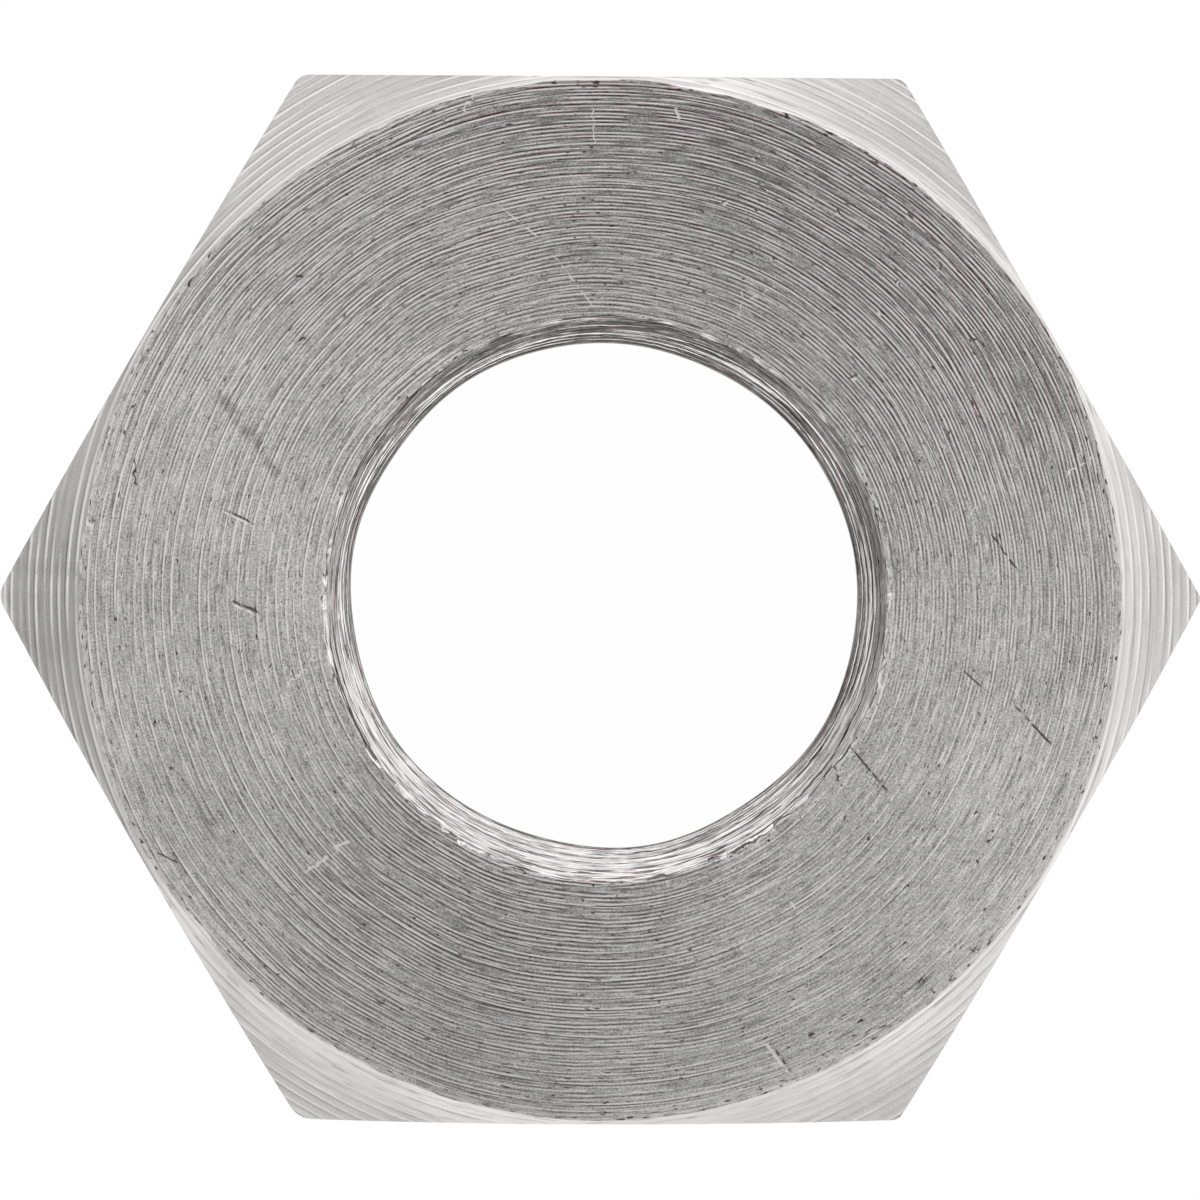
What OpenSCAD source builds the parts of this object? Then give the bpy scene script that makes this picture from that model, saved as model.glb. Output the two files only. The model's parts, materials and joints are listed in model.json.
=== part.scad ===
// Brake line tube nut: a hollow hexagon-headed nut with an outside thread, turned from one bar.
// The axis stands along Z. The nose rests on Z = 0, and the end of the hexagon faces up.

/* [Hexagon] */
// Width of the hexagon across its flats
across_flats = 10; // [9.5:0.1:13]
// Length of the hexagon along the axis
head_l = 6.5; // [4:0.1:9]
// Radius that the drawn bar has on its six long corners
corner_r = 0.25; // [0.1:0.05:0.6]
// How far inside the flats the round end face ends
face_inset = 0.03; // [0.02:0.01:0.4]
// Slope of the turned chamfers on the hexagon, in degrees from its end face
chamfer_slope = 30; // [15:1:45]
// Height of the chamfer that breaks the corners under the head
under_break = 0.2; // [0.05:0.05:0.5]

/* [Thread] */
// Outside diameter of the thread
thread_d = 10; // [9.5:0.1:10]
// Pitch of the thread, which sets how deep its root lies
thread_pitch = 1; // [0.75:0.05:1.25]
// Length of the thread along the axis, with its two bevelled ends
thread_l = 6.6; // [4:0.1:12]
// Slope of the bevels at the ends of the thread, in degrees from the axis
thread_bevel = 45; // [30:1:60]

/* [Neck and nose] */
// Length of the turned neck between the head and the thread
neck_l = 1.2; // [0.8:0.1:3]
// Radius that the tool leaves where the neck meets the head
neck_fillet = 0.3; // [0.1:0.05:0.5]
// How far the neck and the nose lie below the root of the thread
root_clear = 0.14; // [0.05:0.01:0.3]
// Length of the plain nose beyond the thread
nose_l = 1.7; // [1.3:0.1:4]
// Width of the bevel round the tip of the nose
nose_break = 0.3; // [0.1:0.05:0.35]

/* [Bore and flare seat] */
// Outside diameter of the brake tube
tube_d = 4.75; // [4:0.05:5]
// Gap between the tube and the bore, across the diameter
tube_clear = 0.2; // [0.1:0.05:0.6]
// Width of the broken edge where the tube enters, which slopes at 45 degrees
mouth_break = 0.135; // [0.05:0.005:0.4]
// Width of the steeper lead-in between the broken edge and the bore
lead_w = 0.09; // [0.02:0.01:0.2]
// Slope of the lead-in, in degrees from the axis
lead_slope = 25; // [15:1:40]
// Diameter of the flare seat at the tip of the nose
seat_d = 7; // [6:0.1:7.2]
// Slope of the flare seat, in degrees from the axis
seat_slope = 42; // [35:1:50]

/* [Hidden] */
$fn = 96;
// Sides of the hexagon
sides = 6;
// Straight steps in each rounded corner of the bar, and in the fillet of the neck
corner_steps = 6;
// Depth of an ISO outside thread for each unit of its pitch
depth_per_pitch = 0.61343;
// How far a cut runs past the face that it opens
past = 1;

// Heights of the steps, from the tip of the nose
neck_z = nose_l + thread_l;
head_z = neck_z + neck_l;
end_z = head_z + head_l;

// Radii of the turned steps
thread_r = thread_d / 2;
neck_r = thread_r - thread_pitch * depth_per_pitch - root_clear;
bore_r = (tube_d + tube_clear) / 2;
seat_r = seat_d / 2;
face_r = across_flats / 2 - face_inset;

// Lengths along the axis that the thread's bevels, the flare seat and the lead-in take up
bevel_l = (thread_r - neck_r) / tan(thread_bevel);
seat_l = (seat_r - bore_r) / tan(seat_slope);
lead_l = lead_w / tan(lead_slope);

// Distance from the axis to a sharp corner of the bar, and to the centre of its rounding
sharp_r = across_flats / 2 / cos(180 / sides);
round_r = (across_flats / 2 - corner_r) / cos(180 / sides);

// Points of an arc about [x, y], from one angle to another
function arc(x, y, r, from, to) = [
    for (step = [0 : corner_steps])
        let (turn = from + (to - from) * step / corner_steps)
        [x + r * cos(turn), y + r * sin(turn)]
];

// The bar's section: a hexagon whose corners are arcs of corner_r
function bar_section() = [
    for (side = [0 : sides - 1])
        let (corner = side * 360 / sides, half = 180 / sides)
        each arc(round_r * cos(corner), round_r * sin(corner), corner_r, corner - half, corner + half)
];

// Drawn hexagon bar, over the length of the head
module bar() {
    translate([0, 0, head_z])
        linear_extrude(head_l)
            polygon(bar_section());
}

// The turned outline that trims both ends of the hexagon
module head_turning() {
    end_drop = (sharp_r - face_r) * tan(chamfer_slope);
    translate([0, 0, head_z])
        rotate_extrude()
            polygon([
                [0, 0],
                [sharp_r - under_break / tan(chamfer_slope), 0],
                [sharp_r, under_break],
                [sharp_r, head_l - end_drop],
                [face_r, head_l],
                [0, head_l]
            ]);
}

module head() {
    intersection() {
        bar();
        head_turning();
    }
}

// Nose, threaded barrel and neck, as one turned outline that runs up into the head
module shank() {
    rotate_extrude()
        polygon([
            [0, 0],
            [neck_r - nose_break, 0],
            [neck_r, nose_break],
            [neck_r, nose_l],
            [thread_r, nose_l + bevel_l],
            [thread_r, neck_z - bevel_l],
            [neck_r, neck_z],
            each arc(neck_r + neck_fillet, head_z - neck_fillet, neck_fillet, 180, 90),
            [0, head_z]
        ]);
}

// The drilled way for the tube, with the flare seat below, and the lead-in and broken edge above
module bore_cut() {
    rotate_extrude()
        polygon([
            [0, -past],
            [seat_r + past * tan(seat_slope), -past],
            [bore_r, seat_l],
            [bore_r, end_z - mouth_break - lead_l],
            [bore_r + lead_w, end_z - mouth_break],
            [bore_r + lead_w + mouth_break + past, end_z + past],
            [0, end_z + past]
        ]);
}

module tube_nut() {
    color("lightgray")
        difference() {
            union() {
                head();
                shank();
            }
            bore_cut();
        }
}

tube_nut();
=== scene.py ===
"""The visible brake line tube nut: one closed steel skin, its finishes and a plain studio.

The skin is grown row by row round the axis, from the flare seat up through the bore to the mouth, over the
end face and the chamfer, and down the flats and the neck. Geometry trees cut the thread and press the tool's
scallops into the surfaces. Every point carries what its finish reads there.
"""
from __future__ import annotations

import json
import logging
import math
from collections.abc import Callable
from dataclasses import dataclass, replace
from enum import Enum

import bmesh
import bpy
import numpy as np
from mathutils import Matrix, Vector

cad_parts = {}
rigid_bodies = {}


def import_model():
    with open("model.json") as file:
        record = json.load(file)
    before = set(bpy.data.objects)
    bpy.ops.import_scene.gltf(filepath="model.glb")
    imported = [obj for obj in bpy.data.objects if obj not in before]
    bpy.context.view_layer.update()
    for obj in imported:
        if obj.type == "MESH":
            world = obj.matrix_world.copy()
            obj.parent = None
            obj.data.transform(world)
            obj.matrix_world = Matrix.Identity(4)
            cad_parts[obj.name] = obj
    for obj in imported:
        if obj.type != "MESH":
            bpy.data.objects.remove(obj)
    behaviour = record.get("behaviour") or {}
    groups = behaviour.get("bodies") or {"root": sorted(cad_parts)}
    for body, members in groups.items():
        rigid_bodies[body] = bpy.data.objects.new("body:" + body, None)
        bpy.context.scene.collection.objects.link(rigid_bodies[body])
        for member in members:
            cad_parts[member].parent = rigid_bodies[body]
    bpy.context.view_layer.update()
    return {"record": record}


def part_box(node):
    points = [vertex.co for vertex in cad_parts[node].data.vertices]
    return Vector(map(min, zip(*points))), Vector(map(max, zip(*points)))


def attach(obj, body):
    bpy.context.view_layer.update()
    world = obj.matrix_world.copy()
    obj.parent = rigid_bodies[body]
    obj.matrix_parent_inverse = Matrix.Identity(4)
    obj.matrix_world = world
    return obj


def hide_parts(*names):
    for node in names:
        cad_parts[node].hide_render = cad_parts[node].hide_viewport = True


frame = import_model()

log = logging.getLogger("tube_nut")

# The meshes are built in millimetres, and each is brought to metres at the end
MM = 0.001
FULL_TURN = 2 * math.pi
NODE = "tube_nut"
# One seed for everything irregular, so that each run makes the same nut
SEED = 11
# Points nearer than this are one point, in millimetres
WELD = 1e-4

MATH = "ShaderNodeMath"
VECTOR = "ShaderNodeVectorMath"
RANGE = "ShaderNodeMapRange"
NOISE = "ShaderNodeTexNoise"
COMBINE = "ShaderNodeCombineXYZ"
SEPARATE = "ShaderNodeSeparateXYZ"

# Names of the mesh attributes that the finishes read
LAY = "lay"
BURR = "burr"
SURFACE = "surface"


class Surface(Enum):
    """The surfaces of the nut, each as one tool or die left it."""

    FACE = 0
    CHAMFER = 1
    FLATS = 2
    SHANK = 3
    THREAD = 4
    MOUTH = 5
    LEAD = 6
    BORE = 7
    SEAT = 8
    FACE_MARKED = 9


class Lay(Enum):
    """The way that the fine lines of a finish run."""

    ROUND = "round the axis"
    ALONG = "along the axis"


class Tone(Enum):
    """What a scratch or knock shows."""

    # A dent's bright rim is a painted highlight on one side of it
    DENT = "a dent, dark inside a raised rim"
    DARK = "a dark mark"
    BRIGHT = "bare bright metal"
    STAIN = "a brownish stain"
    SMUDGE = "a dull patch"


def linear(colour: str) -> tuple[float, float, float, float]:
    """Turns an sRGB hex colour to linear values.

    Args:
        colour: the colour, such as "#C8C8C6".

    Returns:
        Red, green, blue and an alpha of 1.
    """
    shares = [int(colour[i:i + 2], 16) / 255 for i in (1, 3, 5)]
    return (*(c / 12.92 if c <= 0.04045 else ((c + 0.055) / 1.055) ** 2.4 for c in shares), 1.0)


def add(tree: bpy.types.NodeTree, kind: str, inputs: dict | None = None, out: str | None = None,
        **settings) -> bpy.types.NodeSocket | None:
    """Adds a node with its settings and links.

    Args:
        tree: the node tree that takes the node.
        kind: the node's type.
        inputs: what each input takes, a socket or a value, by its number or its name.
        out: the name of the output wanted, or None for the first.
        settings: the node's own properties.

    Returns:
        The output socket, or None for a node that has none.
    """
    node = tree.nodes.new(kind)
    for name, value in settings.items():
        setattr(node, name, value)
    for key, value in (inputs or {}).items():
        by_name = (s for s in node.inputs if s.enabled and s.name == key)
        socket = node.inputs[key] if isinstance(key, int) else next(by_name)
        if isinstance(value, bpy.types.NodeSocket):
            tree.links.new(value, socket)
        else:
            socket.default_value = value
    return next((s for s in node.outputs if s.enabled and out in (None, s.name)), None)


def inputs_of(tree: bpy.types.NodeTree, sockets: dict[str, str]) -> bpy.types.NodeOutputs:
    """Gives a node group its named inputs.

    Args:
        tree: the group.
        sockets: the type of each input, by its name.

    Returns:
        The sockets that bring the inputs in.
    """
    for name, kind in sockets.items():
        tree.interface.new_socket(name, in_out="INPUT", socket_type=kind)
    return add(tree, "NodeGroupInput").node.outputs


def periodic(values: tuple[float, ...], angles: np.ndarray) -> np.ndarray:
    """Reads evenly spaced values round the axis at any angle, with smooth steps between them.

    Args:
        values: the values, from angle 0 on.
        angles: where they are read, in radians.

    Returns:
        One value for each angle.
    """
    place = (angles / FULL_TURN % 1.0) * len(values)
    low = np.floor(place).astype(int)
    share = place - low
    share = share * share * (3 - 2 * share)
    ring = np.array(values)
    return ring[low % len(values)] * (1 - share) + ring[(low + 1) % len(values)] * share


def ragged(rng: np.random.Generator, count: int, reach: int) -> np.ndarray:
    """Draws an uneven line round the axis.

    Args:
        rng: the random source.
        count: how many points the line has.
        reach: how many neighbours each point is evened out over.

    Returns:
        One value for each point, about zero, with a spread of one.
    """
    raw = rng.normal(size=count)
    evened = sum(np.roll(raw, k) for k in range(-reach, reach + 1))
    return evened / evened.std()


@dataclass(frozen=True)
class Row:
    """A closed row of the skin's points round the axis.

    Fields: the number of each point, its angle, and what the finishes read there: the count of tool turns,
    the depth of the marks in mm, the share of chatter and the share of burr.
    """

    ids: np.ndarray
    angles: np.ndarray
    marks: np.ndarray

    def relaid(self, marks: np.ndarray) -> Row:
        """Returns the same points with other marks, for the surface that starts there."""
        return Row(self.ids, self.angles, np.broadcast_to(marks, (len(self.ids), 4)))


class Skin:
    """Grows a closed skin row by row, and keeps what its finishes read."""

    def __init__(self) -> None:
        """Starts an empty skin."""
        self.points: list[np.ndarray] = []
        self.count = 0
        self.faces: list[tuple[int, ...]] = []
        self.marks: list[np.ndarray] = []
        self.surfaces: list[int] = []

    def row(self, angles: np.ndarray, radii: np.ndarray, heights: np.ndarray, marks: np.ndarray,
            after: Row | None = None) -> Row:
        """Adds a row of points, and takes over each point where it meets the row before it.

        Args:
            angles: the points' angles round the axis, in radians.
            radii: their distances from the axis, in millimetres.
            heights: their heights, in millimetres.
            marks: what the finishes read at each point.
            after: the row before, with as many points.

        Returns:
            The new row.
        """
        flat = np.broadcast_arrays(radii * np.cos(angles), radii * np.sin(angles), heights)
        points = np.stack(flat, axis=1)
        ids = np.arange(self.count, self.count + len(points))
        if after is not None and len(after.ids) == len(ids):
            before = np.concatenate(self.points)[after.ids]
            met = np.linalg.norm(points - before, axis=1) < WELD
            ids = np.where(met, after.ids, self.count + np.cumsum(~met) - 1)
            points = points[~met]
        self.points.append(points)
        self.count += len(points)
        return Row(ids, angles, np.broadcast_to(marks, (len(ids), 4)))

    def face(self, corners: list[tuple[int, np.ndarray]], surface: Surface) -> None:
        """Adds a face, without the corners that fall together.

        Args:
            corners: the number and the marks of each corner.
            surface: the surface that the face belongs to.
        """
        kept = [c for i, c in enumerate(corners) if c[0] != corners[i - 1][0]]
        if len({c[0] for c in kept}) >= 3:
            self.faces.append(tuple(int(c[0]) for c in kept))
            self.marks.extend(c[1] for c in kept)
            self.surfaces.append(surface.value)

    def join(self, low: Row, high: Row, surface: Surface) -> Row:
        """Closes the strip between two rows, which may differ in their number of points.

        Args:
            low: the row that comes first along the nut's outline.
            high: the row after it.
            surface: the surface that the strip belongs to.

        Returns:
            The second row, for the next strip.
        """
        a, b = len(low.ids), len(high.ids)
        i = j = 0
        while i < a or j < b:
            here, there = (low.ids[i % a], low.marks[i % a]), (high.ids[j % b], high.marks[j % b])
            next_low = (low.angles[i + 1] if i + 1 < a else FULL_TURN) if i < a else math.inf
            next_high = (high.angles[j + 1] if j + 1 < b else FULL_TURN) if j < b else math.inf
            step_low, step_high = next_low <= next_high + 1e-9, next_high <= next_low + 1e-9
            corners = [here, there]
            if step_high:
                j += 1
                corners.append((high.ids[j % b], high.marks[j % b]))
            if step_low:
                i += 1
                corners.append((low.ids[i % a], low.marks[i % a]))
            self.face(corners, surface)
        return high

    def take(self, mesh: bpy.types.Mesh, surface: Surface) -> None:
        """Takes over a mesh that already carries its marks.

        Args:
            mesh: the mesh, in millimetres.
            surface: the surface that it is.
        """
        points = np.empty(len(mesh.vertices) * 3)
        mesh.vertices.foreach_get("co", points)
        marks = np.zeros((len(mesh.vertices), 4))
        lay = np.empty(len(mesh.vertices) * 3)
        mesh.attributes[LAY].data.foreach_get("vector", lay)
        marks[:, :3] = lay.reshape(-1, 3)
        for polygon in mesh.polygons:
            self.face([(v + self.count, marks[v]) for v in polygon.vertices], surface)
        self.points.append(points.reshape(-1, 3))
        self.count += len(mesh.vertices)

    def part(self, surface: Surface, other: Surface, chosen: Callable[[np.ndarray], np.ndarray]) -> None:
        """Gives some faces of a surface to another surface.

        Args:
            surface: the surface that they belong to.
            other: the surface that they go to.
            chosen: tells which of a list of places go.
        """
        points = np.concatenate(self.points)
        own = [i for i, value in enumerate(self.surfaces) if value == surface.value]
        middles = np.array([points[list(self.faces[i])].mean(axis=0) for i in own])
        for i in np.array(own)[chosen(middles)]:
            self.surfaces[i] = other.value

    def mesh(self, name: str, first_finish: bpy.types.Material) -> bpy.types.Mesh:
        """Makes the mesh of the whole skin, welded shut and with its faces outwards.

        Args:
            name: the mesh's name.
            first_finish: the material of its first slot.

        Returns:
            The mesh, still in millimetres.
        """
        made = bpy.data.meshes.new(name)
        made.from_pydata(np.concatenate(self.points).tolist(), [], self.faces)
        marks = np.array(self.marks)
        lay = made.attributes.new(LAY, "FLOAT_VECTOR", "CORNER")
        lay.data.foreach_set("vector", marks[:, :3].ravel())
        burr = made.attributes.new(BURR, "FLOAT", "CORNER")
        burr.data.foreach_set("value", marks[:, 3].ravel())
        surface = made.attributes.new(SURFACE, "INT", "FACE")
        surface.data.foreach_set("value", self.surfaces)
        made.materials.append(first_finish)
        work = bmesh.new()
        work.from_mesh(made)
        bmesh.ops.remove_doubles(work, verts=work.verts, dist=WELD)
        bmesh.ops.recalc_face_normals(work, faces=work.faces)
        open_edges = sum(1 for e in work.edges if len(e.link_faces) != 2)
        work.to_mesh(made)
        work.free()
        sizes = (len(made.vertices), len(made.polygons), open_edges)
        log.info("skin: %d points, %d faces, %d open edges", *sizes)
        return made


def plain_mesh(carrier: bpy.types.Object) -> bpy.types.Mesh:
    """Turns an object and its modifiers into a plain mesh, and removes the object.

    Args:
        carrier: the object that carries the modifiers.

    Returns:
        The mesh that the modifiers made.
    """
    seen = bpy.context.evaluated_depsgraph_get()
    made = bpy.data.meshes.new_from_object(carrier.evaluated_get(seen), preserve_all_data_layers=True,
                                           depsgraph=seen)
    bpy.data.objects.remove(carrier)
    return made


def with_nodes(mesh: bpy.types.Mesh, tree: bpy.types.NodeTree, values: dict) -> bpy.types.Mesh:
    """Runs a geometry tree on a mesh.

    Args:
        mesh: the mesh that goes in.
        tree: the geometry tree.
        values: the value of each named input.

    Returns:
        The plain mesh that comes out.
    """
    carrier = bpy.data.objects.new(tree.name, mesh)
    bpy.context.scene.collection.objects.link(carrier)
    modifier = carrier.modifiers.new(tree.name, "NODES")
    modifier.node_group = tree
    for item in tree.interface.items_tree:
        if item.in_out == "INPUT" and item.name in values:
            modifier[item.identifier] = values[item.name]
    return plain_mesh(carrier)


@dataclass(frozen=True)
class Flat:
    """One flat of the drawn bar. Its middle lies a reach from the axis, and its ends a bow nearer."""

    # Direction that it faces, in degrees from +X
    facing: float
    reach: float
    bow: float


@dataclass(frozen=True)
class ToolPath:
    """The feed lines that a tool leaves, with their pitch and depth in mm."""

    feed: float
    depth: float
    # Radii in mm that they are laid out between
    start: float
    end: float
    # Rows of points from one crest to the next
    samples: int = 4
    # How far a crest strays, as a share of the feed
    unevenness: float = 0.12

    def nodes(self, rng: np.random.Generator) -> tuple[np.ndarray, np.ndarray]:
        """Places the crests unevenly, with the same number of samples between each two.

        Args:
            rng: the random source.

        Returns:
            The place of each sample, and its count of turns.
        """
        crests = int(math.ceil((self.end - self.start) / self.feed)) + 1
        strays = self.unevenness * rng.uniform(-1, 1, crests)
        places = self.start + self.feed * (np.arange(crests) + strays)
        turns = np.arange((crests - 1) * self.samples + 1) / self.samples
        return np.interp(turns, np.arange(crests), places), turns


@dataclass(frozen=True)
class Smear:
    """A stretch of an edge that the tool smeared over: its middle and width in degrees, and its size."""

    middle: float
    width: float
    size: float

    def at(self, angles: np.ndarray) -> np.ndarray:
        """Returns its size at each angle, which falls off to both sides."""
        away = (np.degrees(angles) - self.middle) / self.width
        return self.size * np.exp(-away ** 2)


@dataclass(frozen=True)
class Head:
    """The hexagon: drawn flats, a turned end face with its round chamfer, and a chamfered underside."""

    top_z: float
    bottom_z: float = 9.5
    # Half the width across flats that the bar is sold by
    bar_reach: float = 5.0
    flats: tuple[Flat, ...] = (
        Flat(30, 4.999, 0.017), Flat(89.74, 4.984, 0.0), Flat(150, 5.012, 0.036),
        Flat(210, 5.003, 0.055), Flat(270, 4.993, 0.043), Flat(330, 5.003, 0.044),
    )
    # Rounding of each corner, from the one on +X on, and how wide two flats blend for each mm of it
    corner_radii: tuple[float, ...] = (0.07, 0.13, 0.15, 0.17, 0.22, 0.09)
    blend: float = 0.62
    # A bow goes on to this many times its own depth, a little past the corner
    longest_bow: float = 1.4
    face_radius: float = 4.96
    # The turned face lies this far off the bar's own middle
    face_centre: tuple[float, float] = (0.0095, 0.0085)
    chamfer_slope: float = 30.0
    under_break: float = 0.2
    columns: int = 384
    # Width of the burrs along the face's two edges
    burr_width: float = 0.035
    # Share by which the columns crowd towards the corners
    crowding: float = 0.6
    face_path: ToolPath = ToolPath(feed=0.09, depth=0.0022, start=2.55, end=5.1)
    chamfer_path: ToolPath = ToolPath(feed=0.075, depth=0.0045, start=4.7, end=5.85, samples=5)
    # Radius that the underside's rows start from, past every corner, their number and the tool's feed
    under_start: float = 5.75
    under_rows: int = 5
    under_feed: float = 0.1
    # Depth of the tears in the face's edge in mm, and the least that it keeps from the flats
    edge_tear: float = 0.006
    edge_margin: float = 0.008
    # Stretches where the face's edge dips, in mm, and where the chamfer beside it is smeared bright
    edge_dips: tuple[Smear, ...] = (
        Smear(78, 9, 0.02), Smear(90, 4, 0.018), Smear(96, 4, 0.012), Smear(218, 5, 0.05),
    )
    dip_unevenness: float = 0.25
    chamfer_smears: tuple[Smear, ...] = (Smear(80, 13, 1.0), Smear(94, 7, 0.9), Smear(218, 8, 0.9))
    # The corner on -X is worn bare, in this width of its edge in mm
    worn: Smear = Smear(180, 1.6, 1.0)
    worn_width: float = 0.07
    # Some turns of the tool cut deeper than others, between these shares of the path's depth
    turn_depths: tuple[float, float] = (0.35, 1.3)
    # How far the burr on the rim of the mouth is rolled over, and how much that varies
    rolled: float = 0.55
    rolled_spread: float = 0.4
    # How deep the feed lines are and how strong their painted crest highlights, and how much the tool
    # chattered and how much painted shade darkens the face with it, at each hour from 3 o'clock
    # anticlockwise
    cut_and_highlight_by_hour: tuple[float, ...] = (0.5, 0.6, 0.6, 0.75, 0.8, 0.7, 0.75, 0.9, 1.0, 0.9, 0.5, 0.35)
    chatter_and_shade_by_hour: tuple[float, ...] = (0.25, 0.95, 1.0, 0.9, 0.65, 0.25, 0.05, 0.1, 0.6, 0.5, 0.15, 0.0)
    # How bright the band next to the face is, and its width in mm, at each hour: partly where the tool's
    # rubbing left it bright, and round 6 o'clock, where it is widest, painted light on the chamfer
    rubbed_and_lit_by_hour: tuple[float, ...] = (0.35, 0.9, 1.0, 0.8, 0.3, 0.1, 0.0, 0.3, 0.8, 0.75, 0.65, 0.5)
    rubbed_and_lit_width_by_hour: tuple[float, ...] = (
        0.3, 0.16, 0.13, 0.13, 0.14, 0.14, 0.14, 0.2, 0.5, 0.55, 0.5, 0.3,
    )
    # How deep the chamfer's feed lines are, and how strong their painted crest highlights, at each hour
    chamfer_cut_and_highlight_by_hour: tuple[float, ...] = (0.6, 0.6, 0.45, 0.5, 0.6, 0.8, 0.9, 1.0, 0.3, 0.3, 0.3, 0.6)

    def angles(self) -> np.ndarray:
        """Returns the angles of the columns, which crowd towards the six corners."""
        even = np.arange(self.columns) * FULL_TURN / self.columns
        return even - self.crowding / 6 * np.sin(6 * even)

    def reach(self, angles: np.ndarray) -> np.ndarray:
        """Works out how far the outline lies from the axis.

        Args:
            angles: the angles wanted, in radians.

        Returns:
            The distances, in millimetres.
        """
        nearest = np.round(angles / (FULL_TURN / 6)).astype(int) % 6
        blend = self.blend * np.array(self.corner_radii)[nearest]
        # It starts out of every flat's reach, and each flat cuts it back
        outline = np.full_like(angles, 20 * self.bar_reach)
        for flat in self.flats:
            turn = angles - math.radians(flat.facing)
            # A flat that faces well away is held far out, where it cuts nothing
            facing = np.maximum(np.cos(turn), 0.2)
            aside = np.sin(turn) / facing / math.tan(math.radians(30))
            side = (flat.reach - flat.bow * np.minimum(aside ** 2, self.longest_bow)) / facing
            share = np.clip(0.5 + 0.5 * (side - outline) / blend, 0, 1)
            outline = side * (1 - share) + outline * share - blend * share * (1 - share)
        return outline

    def off_centre(self, angles: np.ndarray) -> np.ndarray:
        """Returns how much further out a turned line lies at each angle, as it is off the bar's middle."""
        return self.face_centre[0] * np.cos(angles) + self.face_centre[1] * np.sin(angles)

    def face_edge(self, angles: np.ndarray, rng: np.random.Generator) -> np.ndarray:
        """Works out the ragged edge between the face and the chamfer.

        Args:
            angles: the columns' angles, in radians.
            rng: the random source.

        Returns:
            The distances of the edge from the axis, in millimetres.
        """
        edge = self.face_radius + self.off_centre(angles) + self.edge_tear * ragged(rng, len(angles), 1)
        for dip in self.edge_dips:
            edge -= dip.at(angles) * (1 + self.dip_unevenness * ragged(rng, len(angles), 1))
        return np.minimum(edge, self.reach(angles) - self.edge_margin)

    def face(self, skin: Skin, rim: Row, rim_radii: np.ndarray,
             rng: np.random.Generator) -> tuple[Row, np.ndarray]:
        """Builds the end face from the rim of the mouth to its outer edge.

        Args:
            skin: the skin that takes it.
            rim: the row on the rim of the mouth.
            rim_radii: the rim's distances from the axis.
            rng: the random source.

        Returns:
            The row on the outer edge, and its distances from the axis.
        """
        angles, shift = self.angles(), self.off_centre(self.angles())
        edge = self.face_edge(angles, rng)
        radii, turns = self.face_path.nodes(rng)
        cut, chatter = periodic(self.cut_and_highlight_by_hour, angles), periodic(self.chatter_and_shade_by_hour, angles)
        per_turn = rng.uniform(*self.turn_depths, len(turns) // self.face_path.samples + 2)
        rolled = np.clip(self.rolled + self.rolled_spread * ragged(rng, len(angles), 3), 0, 1)

        def marks(place: np.ndarray, inside: np.ndarray) -> np.ndarray:
            """Returns what the finish reads at each place, with burrs near both edges."""
            turn = np.interp(place - shift, radii, turns)
            depth = self.face_path.depth * cut * np.interp(turn, np.arange(len(per_turn)), per_turn)
            near = 1 - (edge - place) / (4 * self.burr_width)
            at_rim = rolled * (1 - (place - rim_radii) / self.burr_width)
            # Towards the outer edge the burr grows faintly, and fast in its last 0.01 mm
            burr = np.maximum(at_rim, np.maximum(0.35 * near, 4 * near - 3.4))
            # The tool chattered more towards the outer edge on one side, and towards the mouth on the other,
            # and the painted shade that goes with the chatter follows it
            outward = (place - rim_radii) / (edge - rim_radii) - 0.5
            waves = chatter * (1 + outward * np.sin(angles))
            return np.stack([turn, depth * inside, waves, np.clip(burr, 0, 1)], axis=1)

        last = rim.relaid(marks(rim_radii, 0 * angles))
        for radius in radii:
            place = radius + shift
            inside = (place > rim_radii) & (place < edge)
            if not inside.any():
                continue
            held = np.clip(place, rim_radii, edge)
            row = skin.row(angles, held, self.top_z, marks(held, inside), last)
            last = skin.join(last, row, Surface.FACE)
        final = skin.row(angles, edge, self.top_z, marks(edge, 0 * angles), last)
        return skin.join(last, final, Surface.FACE), edge

    def chamfer(self, skin: Skin, start: Row, edge: np.ndarray,
                rng: np.random.Generator) -> tuple[Row, np.ndarray]:
        """Builds the round chamfer out to the flats.

        Args:
            skin: the skin that takes it.
            start: the row on the face's edge.
            edge: that row's distances from the axis.
            rng: the random source.

        Returns:
            The row on the outline, and its heights.
        """
        angles, slope = self.angles(), math.tan(math.radians(self.chamfer_slope))
        outline = self.reach(angles)
        radii, turns = self.chamfer_path.nodes(rng)
        shift = self.off_centre(angles)
        smear = np.max([smear.at(angles) for smear in self.chamfer_smears], axis=0)
        strength = periodic(self.chamfer_cut_and_highlight_by_hour, angles)
        rubbed_and_lit, rubbed_and_lit_width = periodic(self.rubbed_and_lit_by_hour, angles), periodic(self.rubbed_and_lit_width_by_hour, angles)

        def marks(place: np.ndarray, deep: float) -> np.ndarray:
            """Returns what the finish reads at each place."""
            turn = np.interp(place - shift, radii, turns)
            # The band is a bright burr from the tool's rubbing, and round 6 o'clock painted light as well
            rub_and_light = rubbed_and_lit * np.clip(1 - (place - edge) / rubbed_and_lit_width, 0, 1)
            wear = self.worn.at(angles) * np.clip(1 - (outline - place) / self.worn_width, 0, 1)
            burr = np.maximum(np.maximum(smear, rub_and_light), wear)
            return np.stack([turn, deep * self.chamfer_path.depth * strength, 0 * turn, burr], axis=1)

        def height(place: np.ndarray) -> np.ndarray:
            """Returns the height of the cone at each place."""
            return self.top_z - (place - edge) * slope

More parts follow.
